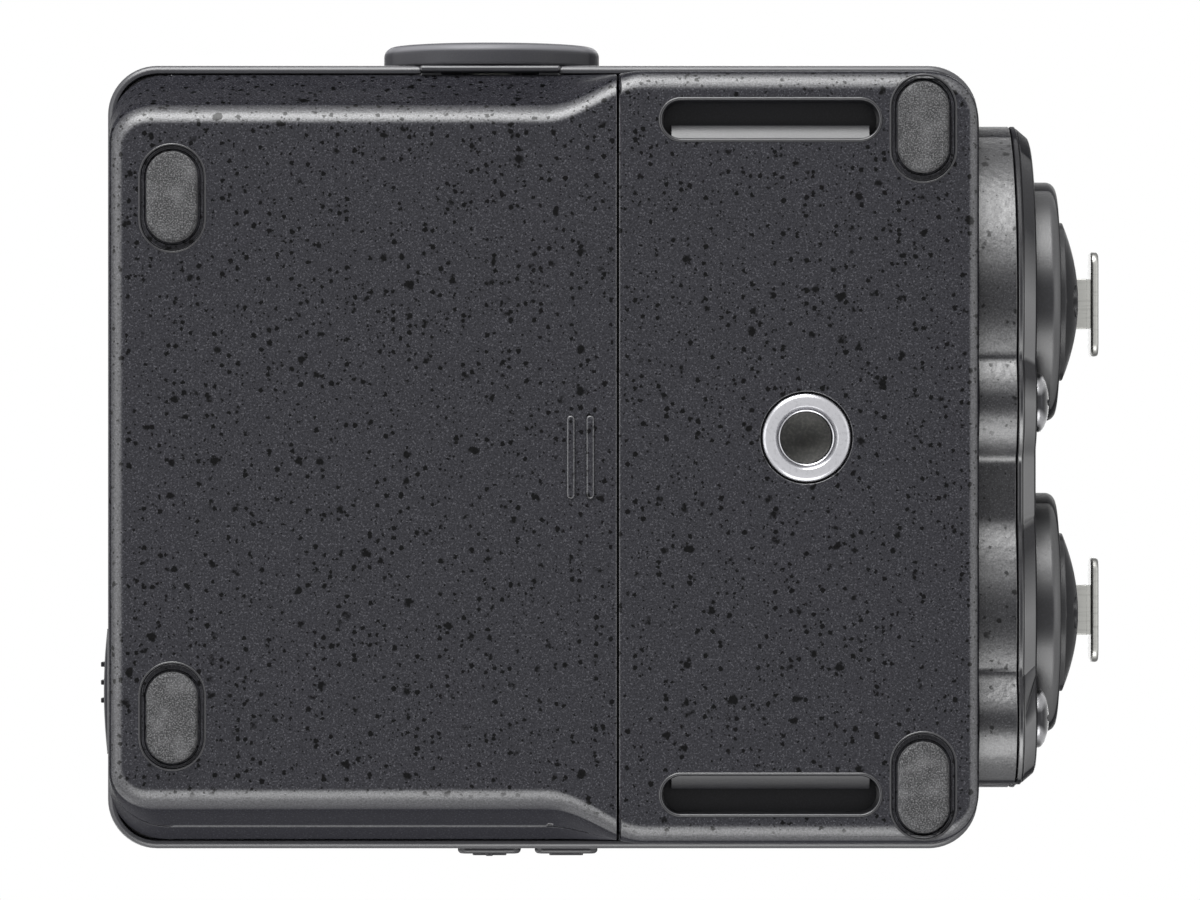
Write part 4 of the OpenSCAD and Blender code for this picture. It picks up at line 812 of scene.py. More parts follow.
PLUG_DEPTH, PLUG_R, PLUG_CONE, PLUG_T = 2.6, bore_r - 0.02, 1.3, 2.0
plug = turned([(0, PLUG_CONE), (PLUG_R - 0.08, 0), (PLUG_R, 0.1), (PLUG_R, PLUG_T)], 64)
piece("tripod_bore", put(plug, "+z", (*TRIPOD, BASE_Z + PLUG_DEPTH)), "bore_grey", "root")

# Battery bay and deck behind the cover
BAY_X0, BAY_X1, BAY_HALF, BAY_WALL = -38.4, 7.1, 28.4, 1.4
BAY_Z0, BAY_TOP, DECK_Z, BAY_LAP = 2.9, 17.75, 19.15, 0.4
BULK_X0, BULK_X1, BULK_HALF = 7.5, 9.3, 34.6
DECK_X0, DECK_X1, DECK_W, DECK_R = -41.4, 23.5, 73.8, 3.3
DIAL_X, VOLUME_X, SIDE_CUT = -5.2, -1.6, 22.0
RAIL_Z, RAIL_T, RAIL_REACH, BAY_EDGE = 5.4, 1.2, 3.4, 0.15
bay_out = BAY_HALF + BAY_WALL
bay_outline = rrect(BULK_X1 - BAY_X0 + BAY_WALL, 2 * bay_out, 2)
bay_place = ((BAY_X0 - BAY_WALL + BULK_X1) / 2, 0, 0)
bay = made("battery_bay", through(bay_outline, BAY_Z0, BAY_TOP + BAY_LAP, "+z", bay_place))
carved(bay, block((BAY_X0, -BAY_HALF, 0), (BAY_X1, BAY_HALF, DECK_Z)))
dressed(bay, "trim_black", edge=BAY_EDGE)
deck_outline = rrect(DECK_X1 - DECK_X0, DECK_W, DECK_R)
deck = made("bay_deck", through(deck_outline, BAY_TOP, DECK_Z, "+z", ((DECK_X0 + DECK_X1) / 2, 0, 0)))
carved(deck, joined(block((DIAL_X - SIDE_CUT / 2, -HW, 0), (DIAL_X + SIDE_CUT / 2, -bay_out, 30)),
                    block((VOLUME_X - SIDE_CUT / 2, bay_out, 0), (VOLUME_X + SIDE_CUT / 2, HW, 30))))
dressed(deck, "trim_black", edge=BAY_EDGE)
rail = block((BAY_X0, bay_out - 0.3, RAIL_Z), (FLARE_X0, bay_out + RAIL_REACH, RAIL_Z + RAIL_T), 0.2)
bulkhead = block((BULK_X0, -BULK_HALF, BASE_Z + SKIN - 0.2), (BULK_X1, BULK_HALF, SEAM_Z - 0.1), 0.2)
ROOF_R, ROOF_T, ROOF_Z0 = 5.9, 1.2, 0.5
roof = turned([(ROOF_R, ROOF_Z0), (ROOF_R, INSERT_L + ROOF_T), (0, INSERT_L + ROOF_T), (0, INSERT_L),
               (insert_r, INSERT_L), (insert_r, ROOF_Z0)], 48, True)
roof = put(roof, "+z", (*TRIPOD, BASE_Z + SKIN / 2))
piece("bay_rails", joined(both_sides(rail), bulkhead, roof), "trim_black")

# Upper shell: rounded rim over the side seam, plain sides, rounded top
RIM_SIDE, RIM_END, RIM_ROUND, LIP_SIDE, LIP_END, LIP_H = 0.44, 0.64, 0.56, 1.3, 1.45, 1.2
DRAFT_Z, TOP_STEPS, SHELL_EDGE = 20.0, 12, 0.13
shell_levels = [(WALL, WALL, CEILING_Z), (WALL, WALL, TOP_Z0 + LIP_H), (LIP_SIDE, LIP_END, TOP_Z0 + LIP_H),
                (LIP_SIDE, LIP_END, TOP_Z0)]
for a in quarter(8):
    inset = RIM_ROUND * (1 - sin(a))
    shell_levels.append((RIM_SIDE + inset, RIM_END + inset, TOP_Z0 + RIM_ROUND * (1 - cos(a))))
shell_levels.append((0.0, 0.0, DRAFT_Z))
for a in quarter(TOP_STEPS):
    inset = TOP_FILLET * (1 - cos(a))
    shell_levels.append((inset, inset, BODY_TOP - TOP_FILLET * (1 - sin(a))))
shell_rings = [level(rrect(BODY_L - 2 * end, BODY_W - 2 * side, CORNER_R - min(side, end), 14), z)
               for side, end, z in shell_levels]
shell = made("upper_shell_moulding", loft(shell_rings))

# Places of the controls on the shell
KEY_PITCH, FUNCTION_X, MENU_X, TRANSPORT_X, TRANSPORT_PITCH = 12.6, -3.8, -15.0, -29.0, 19.5
KEY_L, KEY_W, KEY_R, KEY_GAP, KEY_PROUD, ROUND_KEY = 7.0, 9.5, 1.5, 0.3, 0.8, 13.0
FLAT_KEYS = {f"function_key_{i}": (FUNCTION_X, (i - 2.5) * KEY_PITCH) for i in (1, 2, 3, 4)}
FLAT_KEYS.update(home_key=(MENU_X, -1.5 * KEY_PITCH), menu_key=(MENU_X, 1.5 * KEY_PITCH))
ROUND_KEYS = {name: (TRANSPORT_X, k * TRANSPORT_PITCH)
              for k, name in ((-1, "record_key"), (0, "stop_key"), (1, "play_key"))}
LAMP, LAMP_D = (TRANSPORT_X, -TRANSPORT_PITCH / 2), 2.0
WINDOW_X, WINDOW_L, WINDOW_W, WINDOW_T, WINDOW_LEDGE, PANE_R = 21.5, 34.0, 56.0, 1.2, 1.8, 2.0
DIAL_Z, DIAL_R, BEZEL_RI, BEZEL_RO = 19.25, 10.75, 11.1, 12.05
SIDE_Z, VOLUME_PITCH, VOLUME_W, VOLUME_H = 22.0, 7.7, 6.3, 5.0
JACK_X, JACK2_X, JACK_Z, NOSE_D = 13.4, 20.4, 21.7, 6.0
BOSS_Y, BOSS_L, BOSS_H, BOSS_OUT = 23.4, 12.4, 8.0, 0.35
KNOB_L, KNOB_H, KNOB_REACH = 6.4, 4.0, 2.0
USB_Y, USB_W, USB_H, USB_Z = -22.0, 9.0, 3.3, 22.3
DOOR_W, DOOR_H, DOOR_Z0 = 15.0, 7.4, 22.3
XLR_PITCH, XLR_Z, XLR_R, XLR_BORE, XLR_CORE = 31.2, 22.5, 12.0, 9.6, 7.95
SOCKET_YS = (-XLR_PITCH / 2, XLR_PITCH / 2)


# Bulge round the power knob, and the openings of the shell
BOSS_STEPS, BOSS_SUNK = 16, 0.9
bulge = [(BOSS_SUNK, -BOSS_L / 2)]
for k in range(BOSS_STEPS + 1):
    t = 2 * k / BOSS_STEPS - 1
    bulge.append((-BOSS_OUT * (1 - t * t), t * BOSS_L / 2))
bulge.append((BOSS_SUNK, BOSS_L / 2))
boss_ends = (SIDE_Z - BOSS_H / 2, SIDE_Z + BOSS_H / 2)
carved(shell, loft([[(-HL + x, BOSS_Y + y, z) for x, y in bulge] for z in boss_ends]), how="UNION")


def top_cut(points, place, floor=CEILING_Z - PAST):
    """Cutter through the top of the shell, or down to a floor in it."""
    return through(points, floor, BODY_TOP + PAST, "+z", (*place, 0))


def wall_cut(points, axis, place):
    return through(points, -WALL - PAST, 2 * PAST, axis, place)


key_hole = rrect(KEY_L + 2 * KEY_GAP, KEY_W + 2 * KEY_GAP, KEY_R)
window_hole = rrect(WINDOW_L + 4 * FIT, WINDOW_W + 4 * FIT, PANE_R)
window_light = rrect(WINDOW_L - 2 * WINDOW_LEDGE, WINDOW_W - 2 * WINDOW_LEDGE, 1)
jack_hole = circle(NOSE_D / 2 + FIT, 40)
volume_hole = rrect(VOLUME_W + 2 * KEY_GAP, VOLUME_H + 2 * KEY_GAP, 1)
knob_slot = rrect(KNOB_H + 2 * CLEAR, KNOB_L + 2 * KNOB_REACH + 2 * CLEAR, 0.5)
usb_hole = rrect(USB_H + 4 * FIT, USB_W + 4 * FIT, USB_H / 2)
door_hole = rrect(DOOR_H + 2 * CLEAR, DOOR_W + 2 * CLEAR, 0.4)
top_cuts = [top_cut(key_hole, place) for place in FLAT_KEYS.values()]
top_cuts += [top_cut(circle(ROUND_KEY / 2 + KEY_GAP), place) for place in ROUND_KEYS.values()]
top_cuts.append(top_cut(circle(LAMP_D / 2 + FIT, 32), LAMP))
top_cuts.append(top_cut(window_hole, (WINDOW_X, 0), BODY_TOP - WINDOW_T))
side_cuts = [wall_cut(circle(BEZEL_RO + FIT, 96), "-y", (DIAL_X, -HW, DIAL_Z)),
             wall_cut(jack_hole, "-y", (JACK_X, -HW, JACK_Z))]
side_cuts += [wall_cut(jack_hole, "+y", (x, HW, JACK_Z)) for x in (JACK_X, JACK2_X)]
side_cuts += [wall_cut(volume_hole, "+y", (VOLUME_X + s * VOLUME_PITCH / 2, HW, SIDE_Z)) for s in (-1, 1)]
end_cuts = [wall_cut(knob_slot, "-x", (-HL, BOSS_Y, SIDE_Z)), wall_cut(usb_hole, "-x", (-HL, USB_Y, USB_Z)),
            wall_cut(door_hole, "-x", (-HL, 0, DOOR_Z0 + DOOR_H / 2))]
end_cuts += [wall_cut(circle(XLR_R + FIT, 64), "+x", (HL, y, XLR_Z)) for y in SOCKET_YS]
carved(shell, joined(*top_cuts), joined(*side_cuts), joined(*end_cuts))
carved(shell, through(window_light, CEILING_Z - PAST, BODY_TOP, "+z", (WINDOW_X, 0, 0)))
dressed(shell, "upper_shell", "root", ["top_case"], edge=SHELL_EDGE)

# Connector end: collar, chamfered plate, screws, input sockets and their latches
PANEL_X, COLLAR_T, COLLAR_X0, COLLAR_R, EAR_R = HL, 3.0, 42.84, 17.6, 6.6
PLATE_X0, PLATE_X1, PLATE_LAND, PLATE_CHAMFER = 46.72, 48.65, 0.5, 1.15
LINE_W, LINE_DEPTH, BROW, BROW_W = 0.16, 0.2, 0.16, 0.5
SCREW_Y, SCREW_Z, SCREW_HEAD, SCREW_DOME, HEAD_RIM = 10.2, 11.5, 5.95, 1.4, 0.34
SLOT_L, SLOT_W, SLOT_DEPTH = 3.2, 0.62, 0.75
BLEND, WEB_HALF, WEB_DOWN = 0.22, 7.0, 15.2
OUTLINE_STEPS, MARCH_FROM, MARCH_STEP, HALVINGS = 440, 60.0, 0.25, 18
SCREWS = [(y + s * SCREW_Y, -s * SCREW_Z) for y in SOCKET_YS for s in (-1, 1)]
DISCS = [(y, 0.0, COLLAR_R) for y in SOCKET_YS] + [(y, z, EAR_R) for y, z in SCREWS]


def disc_distance(y, z):
    """Distance from the blended outline of all discs and the web between them, negative inside."""
    gaps = [hypot(y - cy, z - cz) - r for cy, cz, r in DISCS]
    gaps.append(max(abs(y) - WEB_HALF, abs(z) - WEB_DOWN))
    return -BLEND * log(sum(exp(-gap / BLEND) for gap in gaps))


def collar_ring(inset, x):
    """The outline drawn in by an inset at a place along X, found on rays from the middle of the panel."""
    points = []
    for k in range(OUTLINE_STEPS):
        a = 2 * pi * k / OUTLINE_STEPS
        dy, dz = sin(a), -cos(a)
        far = MARCH_FROM
        while disc_distance(dy * (far - MARCH_STEP), dz * (far - MARCH_STEP)) > -inset:
            far -= MARCH_STEP
        near = far - MARCH_STEP
        for _ in range(HALVINGS):
            mid = (near + far) / 2
            if disc_distance(dy * mid, dz * mid) > -inset:
                far = mid
            else:
                near = mid
        points.append((x, dy * near, XLR_Z + dz * near))
    return points


def collar_loft(levels):
    return loft([collar_ring(inset, x) for inset, x in levels])


panel_face, land_x = PANEL_X + COLLAR_T, PLATE_X0 + PLATE_LAND
sockets = joined(*[through(circle(XLR_R + FIT, 80), -3, 12, "+x", (PANEL_X, y, XLR_Z)) for y in SOCKET_YS])
collar = made("input_collar", collar_loft([(0.0, COLLAR_X0), (0.0, panel_face - 0.06),
                                           (0.02, panel_face - 0.02), (0.06, panel_face)]))
carved(collar, sockets)
dressed(collar, "collar_shell", "root", ["input_panel"], edge=0.04)
plate = made("input_plate", collar_loft([(0.12, PLATE_X0), (0.0, PLATE_X0 + 0.1), (0.0, land_x),
                                         (LINE_DEPTH, land_x + 0.03), (LINE_DEPTH, land_x + LINE_W),
                                         (PLATE_CHAMFER, PLATE_X1 - BROW),
                                         (PLATE_CHAMFER + BROW_W, PLATE_X1)]))
carved(plate, sockets)
dressed(plate, "plate_plastic", "root", ["connector_plate"], edge=0.1, turn=24)

head_r, slot_x = SCREW_HEAD / 2, PLATE_X1 + SCREW_DOME - SLOT_DEPTH
head = [(head_r - 0.08, 0), (head_r, 0.1), (head_r, HEAD_RIM)]
head += [(head_r * cos(a), HEAD_RIM + (SCREW_DOME - HEAD_RIM) * sin(a)) for a in quarter(8)][1:]
heads = [put(turned(head, 48), "+x", (PLATE_X1, y, XLR_Z + z)) for y, z in SCREWS]
screws = made("plate_screws", joined(*heads))
for long, wide in ((SLOT_L, SLOT_W), (SLOT_W, SLOT_L)):
    slots = [block((slot_x, y - wide / 2, XLR_Z + z - long / 2),
                   (PLATE_X1 + 3, y + wide / 2, XLR_Z + z + long / 2)) for y, z in SCREWS]
    carved(screws, joined(*slots))
dressed(screws, "black_screw", "root", ["connector_screws"], edge=0.05)

RING_X, DOME_X, DOME_H, BARREL_X = 51.35, 53.7, 1.65, 27.1
SHELL_L, RING_ROUND, BACK_T, SLOT_SIDE = RING_X - BARREL_X, 1.0, 6.0, 5.7
PIVOT_X, LATCH_Z, LATCH_T, STEM_W, KNUCKLE_R, PIN_R = 37.1, 10.2, 0.8, 5.1, 1.5, 0.8
TAB_X1, TAB_W, TAB_H, TAB_R, TAB_ROUND, TAB_DROP = 56.5, 10.7, 4.6, 1.4, 0.28, 0.3
BARB = ((9.0, 0.1), (9.0, -0.9), (9.4, -0.9), (12.0, 0.1))
PIN_CIRCLE, CONTACT_HOLE = 3.8, 1.6


def input_shell(n, y0):
    """Barrel with a rounded ring at its mouth and a slot for its latch."""
    profile = [(XLR_CORE + FIT, 0), (XLR_R, 0)] + rounded(XLR_R, SHELL_L, RING_ROUND, 8)
    profile += [(XLR_BORE + 0.45, SHELL_L), (XLR_BORE + 0.12, SHELL_L - 0.12), (XLR_BORE, SHELL_L - 0.45),
                (XLR_BORE, BACK_T), (XLR_CORE + FIT, BACK_T)]
    barrel = made(f"input_shell_{n}", put(turned(profile, 96, True), "+x", (BARREL_X, y0, XLR_Z)))
    low = (PIVOT_X - KNUCKLE_R - CLEAR, y0 - SLOT_SIDE / 2, XLR_Z + XLR_BORE - 1.6)
    side = y0 + SLOT_SIDE / 2
    carved(barrel, block(low, (RING_X + 1, side, XLR_Z + LATCH_Z + LATCH_T + CLEAR)),
           block(low, (PANEL_X, side, XLR_Z + 2 * XLR_R)))
    dressed(barrel, "connector_plastic", "root", [f"xlr_shell_{n}"], edge=0.08)


def input_insert(n, y0):
    """Domed core with the holes of its three contacts."""
    front = DOME_X - BARREL_X
    dome = [(XLR_CORE, 0.0)]
    dome += [(XLR_CORE * cos(a), front - DOME_H * cos(a) ** 2) for a in quarter(14)]
    core = made(f"input_insert_{n}", put(turned(dome, 80), "+x", (BARREL_X, y0, XLR_Z)))
    holes = []
    for k in range(3):
        a = radians(120 * k)
        place = (BARREL_X, y0 + PIN_CIRCLE * sin(a), XLR_Z - PIN_CIRCLE * cos(a))
        holes.append(through(circle(CONTACT_HOLE, 40), 1, front + 2, "+x", place))
    carved(core, joined(*holes))
    dressed(core, "insert_plastic", "root", [f"xlr_insert_{n}"], edge=0.09)


def input_latch(n, y0):
    """Sheet steel latch: a knuckle on its pin, a stem with a hook, and an upright tab at the front."""
    z0, half, back_x, face_x = XLR_Z + LATCH_Z, STEM_W / 2, TAB_X1 - LATCH_T, TAB_X1 - 0.02
    stem = block((PIVOT_X, y0 - half, z0), (back_x - 0.35, y0 + half, z0 + LATCH_T), 0.12)
    bend = [(back_x - 0.4, z0 + LATCH_T), (back_x - 0.4, z0), (TAB_X1 - 0.5, z0 + 0.02),
            (TAB_X1 - 0.16, z0 + 0.18), (face_x, z0 + 0.5), (face_x, z0 + LATCH_T + 0.4),
            (back_x, z0 + LATCH_T + 0.4)]
    corner = loft([[(x, y0 + s * (half - 0.04), z) for x, z in bend] for s in (-1, 1)])
    tab = pad(lambda i: rrect(TAB_H - 2 * i, TAB_W - 2 * i, TAB_R - i), 0, LATCH_T, TAB_ROUND, TAB_ROUND, 4)
    tab = put(tab, "+x", (back_x, y0, z0 + TAB_H / 2 - TAB_DROP))
    knuckle = turned([(PIN_R + 0.05, 0), (KNUCKLE_R - 0.1, 0), (KNUCKLE_R, 0.1), (KNUCKLE_R, STEM_W - 0.1),
                      (KNUCKLE_R - 0.1, STEM_W), (PIN_R + 0.05, STEM_W)], 40, True)
    knuckle = put(knuckle, "+y", (PIVOT_X, y0 - half, z0 + LATCH_T / 2))
    hook = loft([[(PIVOT_X + x, y0 + s * STEM_W / 4, z0 + z) for x, z in BARB] for s in (-1, 1)])
    latch = joined(stem, corner, tab, knuckle, hook)
    piece(f"input_latch_{n}", latch, "latch_steel", f"latch_{n}", [f"xlr_latch_{n}"])


for n, y0 in enumerate(SOCKET_YS, 1):
    input_shell(n, y0)
    input_insert(n, y0)
    input_latch(n, y0)

# Dial and its bezel on the -Y side, with the sill that closes the bezel's cut ends
DIAL_BACK_Y, DIAL_OUT, DIAL_ROUND, DIMPLE_AT, DIMPLE_R, DIMPLE_DEPTH = -38.74, 2.21, 1.0, 6.4, 4.6, 0.55
BEZEL_BACK_Y, BEZEL_OUT, BEZEL_FLOOR, SHAFT_HOLE = -37.1, 1.52, 0.5, 3.3
SILL_HALF, SILL_Z0, SILL_Z1, SILL_Y0, SILL_Y1 = 6.95, 8.3, TOP_Z0 + 1.2, -38.64, -37.95
profile = [(0.0, 0.0), (DIAL_R - 0.2, 0.0), (DIAL_R, 0.2)] + rounded(DIAL_R, DIAL_OUT, DIAL_ROUND, 8)
profile += [(8.9, DIAL_OUT), (8.75, DIAL_OUT - 0.12), (8.5, DIAL_OUT - 0.12), (8.35, DIAL_OUT),
            (0.0, DIAL_OUT + 0.06)]
wheel = made("dial_wheel", put(turned(profile, 144), "-y", (DIAL_X, DIAL_BACK_Y, DIAL_Z)))
ball = [(DIMPLE_R * sin(a), -DIMPLE_R * cos(a)) for a in (pi * k / 24 for k in range(25))]
carved(wheel, put(turned(ball, 64), "-y",
                  (DIAL_X, DIAL_BACK_Y - DIAL_OUT - DIMPLE_R + DIMPLE_DEPTH, DIAL_Z + DIMPLE_AT)))
dressed(wheel, "dial_plastic", "dial_body", ["dial"], edge=0.08)
bezel = turned([(SHAFT_HOLE, 0.0), (BEZEL_RO, 0.0), (BEZEL_RO, BEZEL_OUT - 0.2),
                (BEZEL_RO - 0.06, BEZEL_OUT - 0.06), (BEZEL_RO - 0.2, BEZEL_OUT),
                (BEZEL_RI + 0.15, BEZEL_OUT), (BEZEL_RI, BEZEL_OUT - 0.15), (BEZEL_RI, BEZEL_FLOOR),
                (SHAFT_HOLE, BEZEL_FLOOR)], 144, True)
ring = made("dial_bezel_ring", put(bezel, "-y", (DIAL_X, BEZEL_BACK_Y, DIAL_Z)))
carved(ring, block((-BODY_L, -BODY_W, TOP_Z0 + 0.03), (BODY_L, 0, BODY_TOP)), how="INTERSECT")
sill = block((DIAL_X - SILL_HALF, SILL_Y0, SILL_Z0), (DIAL_X + SILL_HALF, SILL_Y1, SILL_Z1), 0.28)
carved(ring, sill, how="UNION")
dressed(ring, "upper_shell", "root", ["dial_bezel"], edge=0.05)

# Volume keys on the +Y side, with raised plus and minus
VOLUME_FACE_Y, VOLUME_BACK_Y, VOLUME_R, VOLUME_ROUND, FLANGE_T, FLANGE_W = 39.75, 36.3, 0.9, 0.4, 0.75, 0.8
MARK_L, MARK_W, MARK_H, MARK_R, MARK_SUNK = 3.4, 0.7, 0.27, 0.25, 0.3


def volume_mark(length, width):
    outline = lambda i: rrect(length - 2 * i, width - 2 * i, MARK_R - i, 4)
    return pad(outline, VOLUME_FACE_Y - MARK_SUNK, VOLUME_FACE_Y + MARK_H, 0, 0.07, 3)


def volume_key(marks):
    outline = lambda i: rrect(VOLUME_W - 2 * i, VOLUME_H - 2 * i, VOLUME_R - i)
    cap = pad(outline, VOLUME_BACK_Y, VOLUME_FACE_Y, 0, VOLUME_ROUND, 6)
    flange = rrect(VOLUME_W + 2 * FLANGE_W, VOLUME_H + 2 * FLANGE_W, VOLUME_R)
    return joined(cap, through(flange, VOLUME_BACK_Y, VOLUME_BACK_Y + FLANGE_T), *marks)


minus, upright = volume_mark(MARK_L, MARK_W), volume_mark(MARK_W, MARK_L)
for name, side, marks in (("volume_up", -1, (minus, upright)), ("volume_down", 1, (minus,))):
    key = put(volume_key(marks), "+y", (VOLUME_X + side * VOLUME_PITCH / 2, 0, SIDE_Z))
    piece(f"{name}_cap", key, "key_grey", name, [f"{name}_key"])

# Power knob: a slider with three grip ribs, in its slot at the power end
KNOB_Y, KNOB_FACE_X, KNOB_RIB, RIB_PITCH, RIB_W, RIB_SHORT = 22.6, -43.92, 0.48, 1.8, 0.5, 0.6
KNOB_BACK_X, KNOB_SHOE_X, KNOB_SHOE = -40.6, -41.4, 1.6


def knob_block(x0, x1, y, half_l, half_h, edge=0.0):
    return block((x0, y - half_l, SIDE_Z - half_h), (x1, y + half_l, SIDE_Z + half_h), edge)


shoe = knob_block(KNOB_SHOE_X, KNOB_BACK_X, KNOB_Y, KNOB_L / 2 + KNOB_SHOE, KNOB_H / 2 + KNOB_SHOE / 2)
knob = knob_block(KNOB_FACE_X, KNOB_BACK_X, KNOB_Y, KNOB_L / 2, KNOB_H / 2, 0.2)
ribs = [knob_block(KNOB_FACE_X - KNOB_RIB, KNOB_FACE_X + 0.3, KNOB_Y + k * RIB_PITCH, RIB_W / 2,
                   KNOB_H / 2 - RIB_SHORT / 2, 0.1) for k in (-1, 0, 1)]
piece("power_knob_cap", joined(shoe, knob, *ribs), "trim_black", "power_knob", ["power_slider"])

# Keys on the top face
KEY_TOP, KEY_FOOT, KEY_FLANGE, KEY_ROUND = BODY_TOP + KEY_PROUD, CEILING_Z - 0.9, 0.8, 0.45
DISH, SYMBOL_H, SYMBOL_SUNK, SYMBOL_R, SYMBOL_SIDE = 0.4, 0.1, 0.3, 1.6, 2.8
SLOTS = {part["node"]: part["material_slot"] for part in frame["record"]["subparts"]}


def flat_key():
    cap = pad(lambda i: rrect(KEY_L - 2 * i, KEY_W - 2 * i, KEY_R - i), KEY_FOOT, KEY_TOP, 0, KEY_ROUND, 6)
    return joined(cap, through(rrect(KEY_L + 2, KEY_W + 2, KEY_R + 0.5), KEY_FOOT, KEY_FOOT + KEY_FLANGE))


def round_key():
    """Transport key with a dished top."""
    r, inner = ROUND_KEY / 2, ROUND_KEY / 2 - KEY_ROUND
    profile = [(0.0, KEY_FOOT), (r + 1, KEY_FOOT), (r + 1, KEY_FOOT + KEY_FLANGE), (r, KEY_FOOT + KEY_FLANGE)]
    profile += rounded(r, KEY_TOP, KEY_ROUND, 6)
    profile += [(inner * cos(a), KEY_TOP - DISH * sin(a) ** 2) for a in quarter(12)][1:]
    return turned(profile, 96)


play_turns = [pi / 2 + 2 * pi * k / 3 for k in range(3)]
SYMBOLS = {"record_key": circle(SYMBOL_R, 40), "stop_key": rrect(SYMBOL_SIDE, SYMBOL_SIDE, 0.2),
           "play_key": [(SYMBOL_R * cos(a), SYMBOL_R * sin(a)) for a in play_turns]}
for name, place in {**FLAT_KEYS, **ROUND_KEYS}.items():
    form = flat_key() if name in FLAT_KEYS else round_key()
    piece(f"{name}_cap", put(form, "+z", (*place, 0)), SLOTS[name], f"{name}_body", [name])
    if name in SYMBOLS:
        dish_z = KEY_TOP - DISH
        symbol = through(SYMBOLS[name], dish_z - SYMBOL_SUNK, dish_z + SYMBOL_H, "+z", (*place, 0))
        piece(f"{name}_symbol", symbol, "symbol_pale", f"{name}_body", edge=0.04)

# Display window, record lamp and jack rims
PANE_EDGE, LENS_R, LENS_H = 0.25, LAMP_D / 2, 0.3
JACK_BORE, JACK_RIM, RIM_OUT, RIM_DEPTH = 1.825, 0.12, 0.02, 1.2
pane = pad(lambda i: rrect(WINDOW_L - 2 * i, WINDOW_W - 2 * i, PANE_R - i), BODY_TOP - WINDOW_T + FIT,
           BODY_TOP, 0, PANE_EDGE, 5)
piece("display_pane", put(pane, "+z", (WINDOW_X, 0, 0)), "window", "root", ["display_window"])
lens = [(0.0, CEILING_Z), (LENS_R, CEILING_Z)]
lens += [(LENS_R * cos(a), BODY_TOP + LENS_H * sin(a)) for a in quarter(8)]
piece("record_lamp_lens", put(turned(lens, 48), "+z", (*LAMP, 0)), "lamp_red", "root", ["record_lamp"])
nose_r = NOSE_D / 2
rim = turned([(JACK_BORE, -RIM_DEPTH), (nose_r, -RIM_DEPTH), (nose_r, RIM_OUT - JACK_RIM),
              (nose_r - JACK_RIM, RIM_OUT), (JACK_BORE + 0.4, RIM_OUT), (JACK_BORE, RIM_OUT - 0.4)], 64, True)
rims = [put(rim, axis, (x, side * HW, JACK_Z))
        for axis, side, x in (("-y", -1, JACK_X), ("+y", 1, JACK_X), ("+y", 1, JACK2_X))]
piece("jack_rims", joined(*rims), "trim_black")

# The remaining solids of the frame keep their shape and take their slot's finish
for part in frame["record"]["subparts"]:
    obj = frame["nodes"][part["node"]]
    obj.data.materials.clear()
    obj.data.materials.append(FINISHES[part["material_slot"]])
    if not obj.hide_render:
        edged(obj, 0.08)

# Stage: white room, pale floor seen from above only, and soft boxes round the object
FLOOR, FLOOR_GREY, AMBIENT = 1.6, 0.86, 0.15


def floor_material():
    """Pale to the camera from above, and clear to all else."""
    material = bpy.data.materials.new("pale_floor")
    material.use_nodes = True
    tree = material.node_tree
    tree.nodes.clear()
    camera_ray = tree.nodes.new("ShaderNodeLightPath").outputs["Is Camera Ray"]
    behind = tree.nodes.new("ShaderNodeNewGeometry").outputs["Backfacing"]
    front = fed(tree, "ShaderNodeMath", 1, behind, operation="SUBTRACT")
    seen = fed(tree, "ShaderNodeMath", camera_ray, front, operation="MULTIPLY")
    clear = fed(tree, "ShaderNodeBsdfTransparent")
    pale = fed(tree, "ShaderNodeBsdfDiffuse", grey(FLOOR_GREY))
    fed(tree, "ShaderNodeOutputMaterial", fed(tree, "ShaderNodeMixShader", seen, clear, pale))
    return material


mesh = bpy.data.meshes.new("floor")
corners = ((-FLOOR, -FLOOR), (FLOOR, -FLOOR), (FLOOR, FLOOR), (-FLOOR, FLOOR))
mesh.from_pydata(level(corners, 0), [], [(0, 1, 2, 3)])
mesh.materials.append(floor_material())
floor = bpy.data.objects.new("floor", mesh)
scene.collection.objects.link(floor)

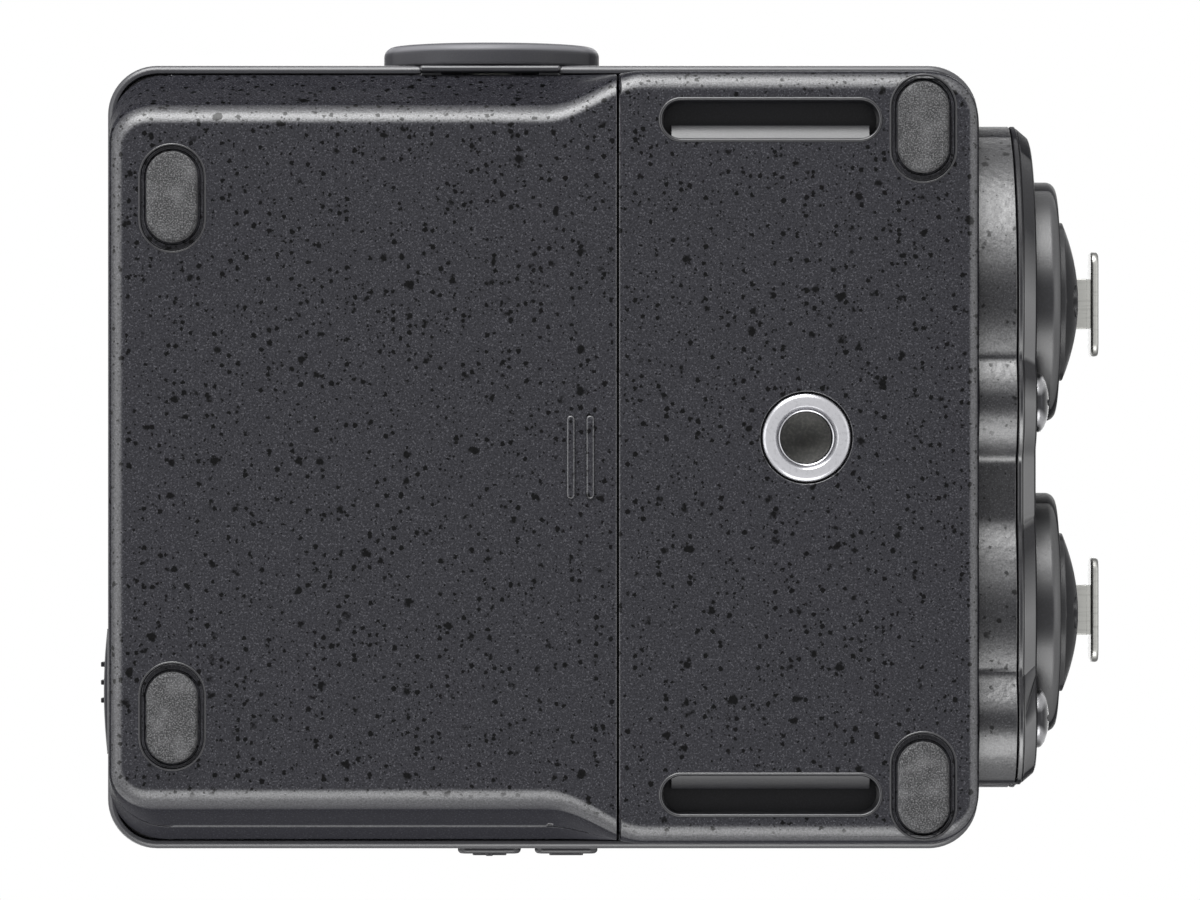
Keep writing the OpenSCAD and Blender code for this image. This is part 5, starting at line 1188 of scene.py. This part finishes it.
world = bpy.data.worlds.new("room")
scene.world = world
world.use_nodes = True
tree = world.node_tree
tree.nodes.clear()
rays = tree.nodes.new("ShaderNodeLightPath").outputs
seen = fed(tree, "ShaderNodeMath", rays["Is Camera Ray"], rays["Is Glossy Ray"], operation="MAXIMUM")
seen = fed(tree, "ShaderNodeMath", seen, rays["Is Transmission Ray"], operation="MAXIMUM")
fill = fed(tree, "ShaderNodeBackground", grey(AMBIENT))
white = fed(tree, "ShaderNodeBackground", grey(1))
fed(tree, "ShaderNodeOutputWorld", fed(tree, "ShaderNodeMixShader", seen, fill, white))


def soft_box(name, place, size, power, target=(0, 0, 0.01)):
    light = bpy.data.lights.new(name, "AREA")
    light.shape = "RECTANGLE"
    light.size, light.size_y = size
    light.energy = power
    lamp = bpy.data.objects.new(name, light)
    lamp.location = place
    lamp.rotation_euler = (Vector(target) - Vector(place)).to_track_quat("-Z", "Y").to_euler()
    scene.collection.objects.link(lamp)


soft_box("under_front", (-0.16, -0.63, -0.3), (0.5, 0.55), 7.0)
soft_box("under_back", (0.0, 0.55, -0.43), (0.6, 0.45), 2.7)
soft_box("under_left", (-0.6, 0.0, -0.36), (0.5, 0.4), 0.85)
soft_box("under_right", (0.62, -0.1, -0.34), (0.5, 0.4), 0.4)
soft_box("over_front", (0.2, -0.4, 0.8), (0.6, 0.4), 3.2)
soft_box("over_back", (-0.45, 0.5, 0.6), (0.6, 0.4), 2.6)
soft_box("over_top", (0.0, 0.0, 0.9), (0.6, 0.6), 2.4)

# Camera straight below the underside, with the connector end to the right
VIEW_X, VIEW_Y, VIEW_DISTANCE = -0.45, 0.075, 700.0
FOCAL_PIXELS, IMAGE_WIDTH, SENSOR = 7175, 1200, 36.0
camera = bpy.data.cameras.new("camera")
camera.sensor_width = SENSOR
camera.lens = FOCAL_PIXELS / IMAGE_WIDTH * SENSOR
camera.clip_end = 10
eye = bpy.data.objects.new("camera", camera)
eye.location = (VIEW_X * MM, VIEW_Y * MM, (BASE_Z - VIEW_DISTANCE) * MM)
eye.rotation_euler = (pi, 0, 0)
scene.collection.objects.link(eye)
scene.camera = eye
scene.view_settings.view_transform = "Standard"
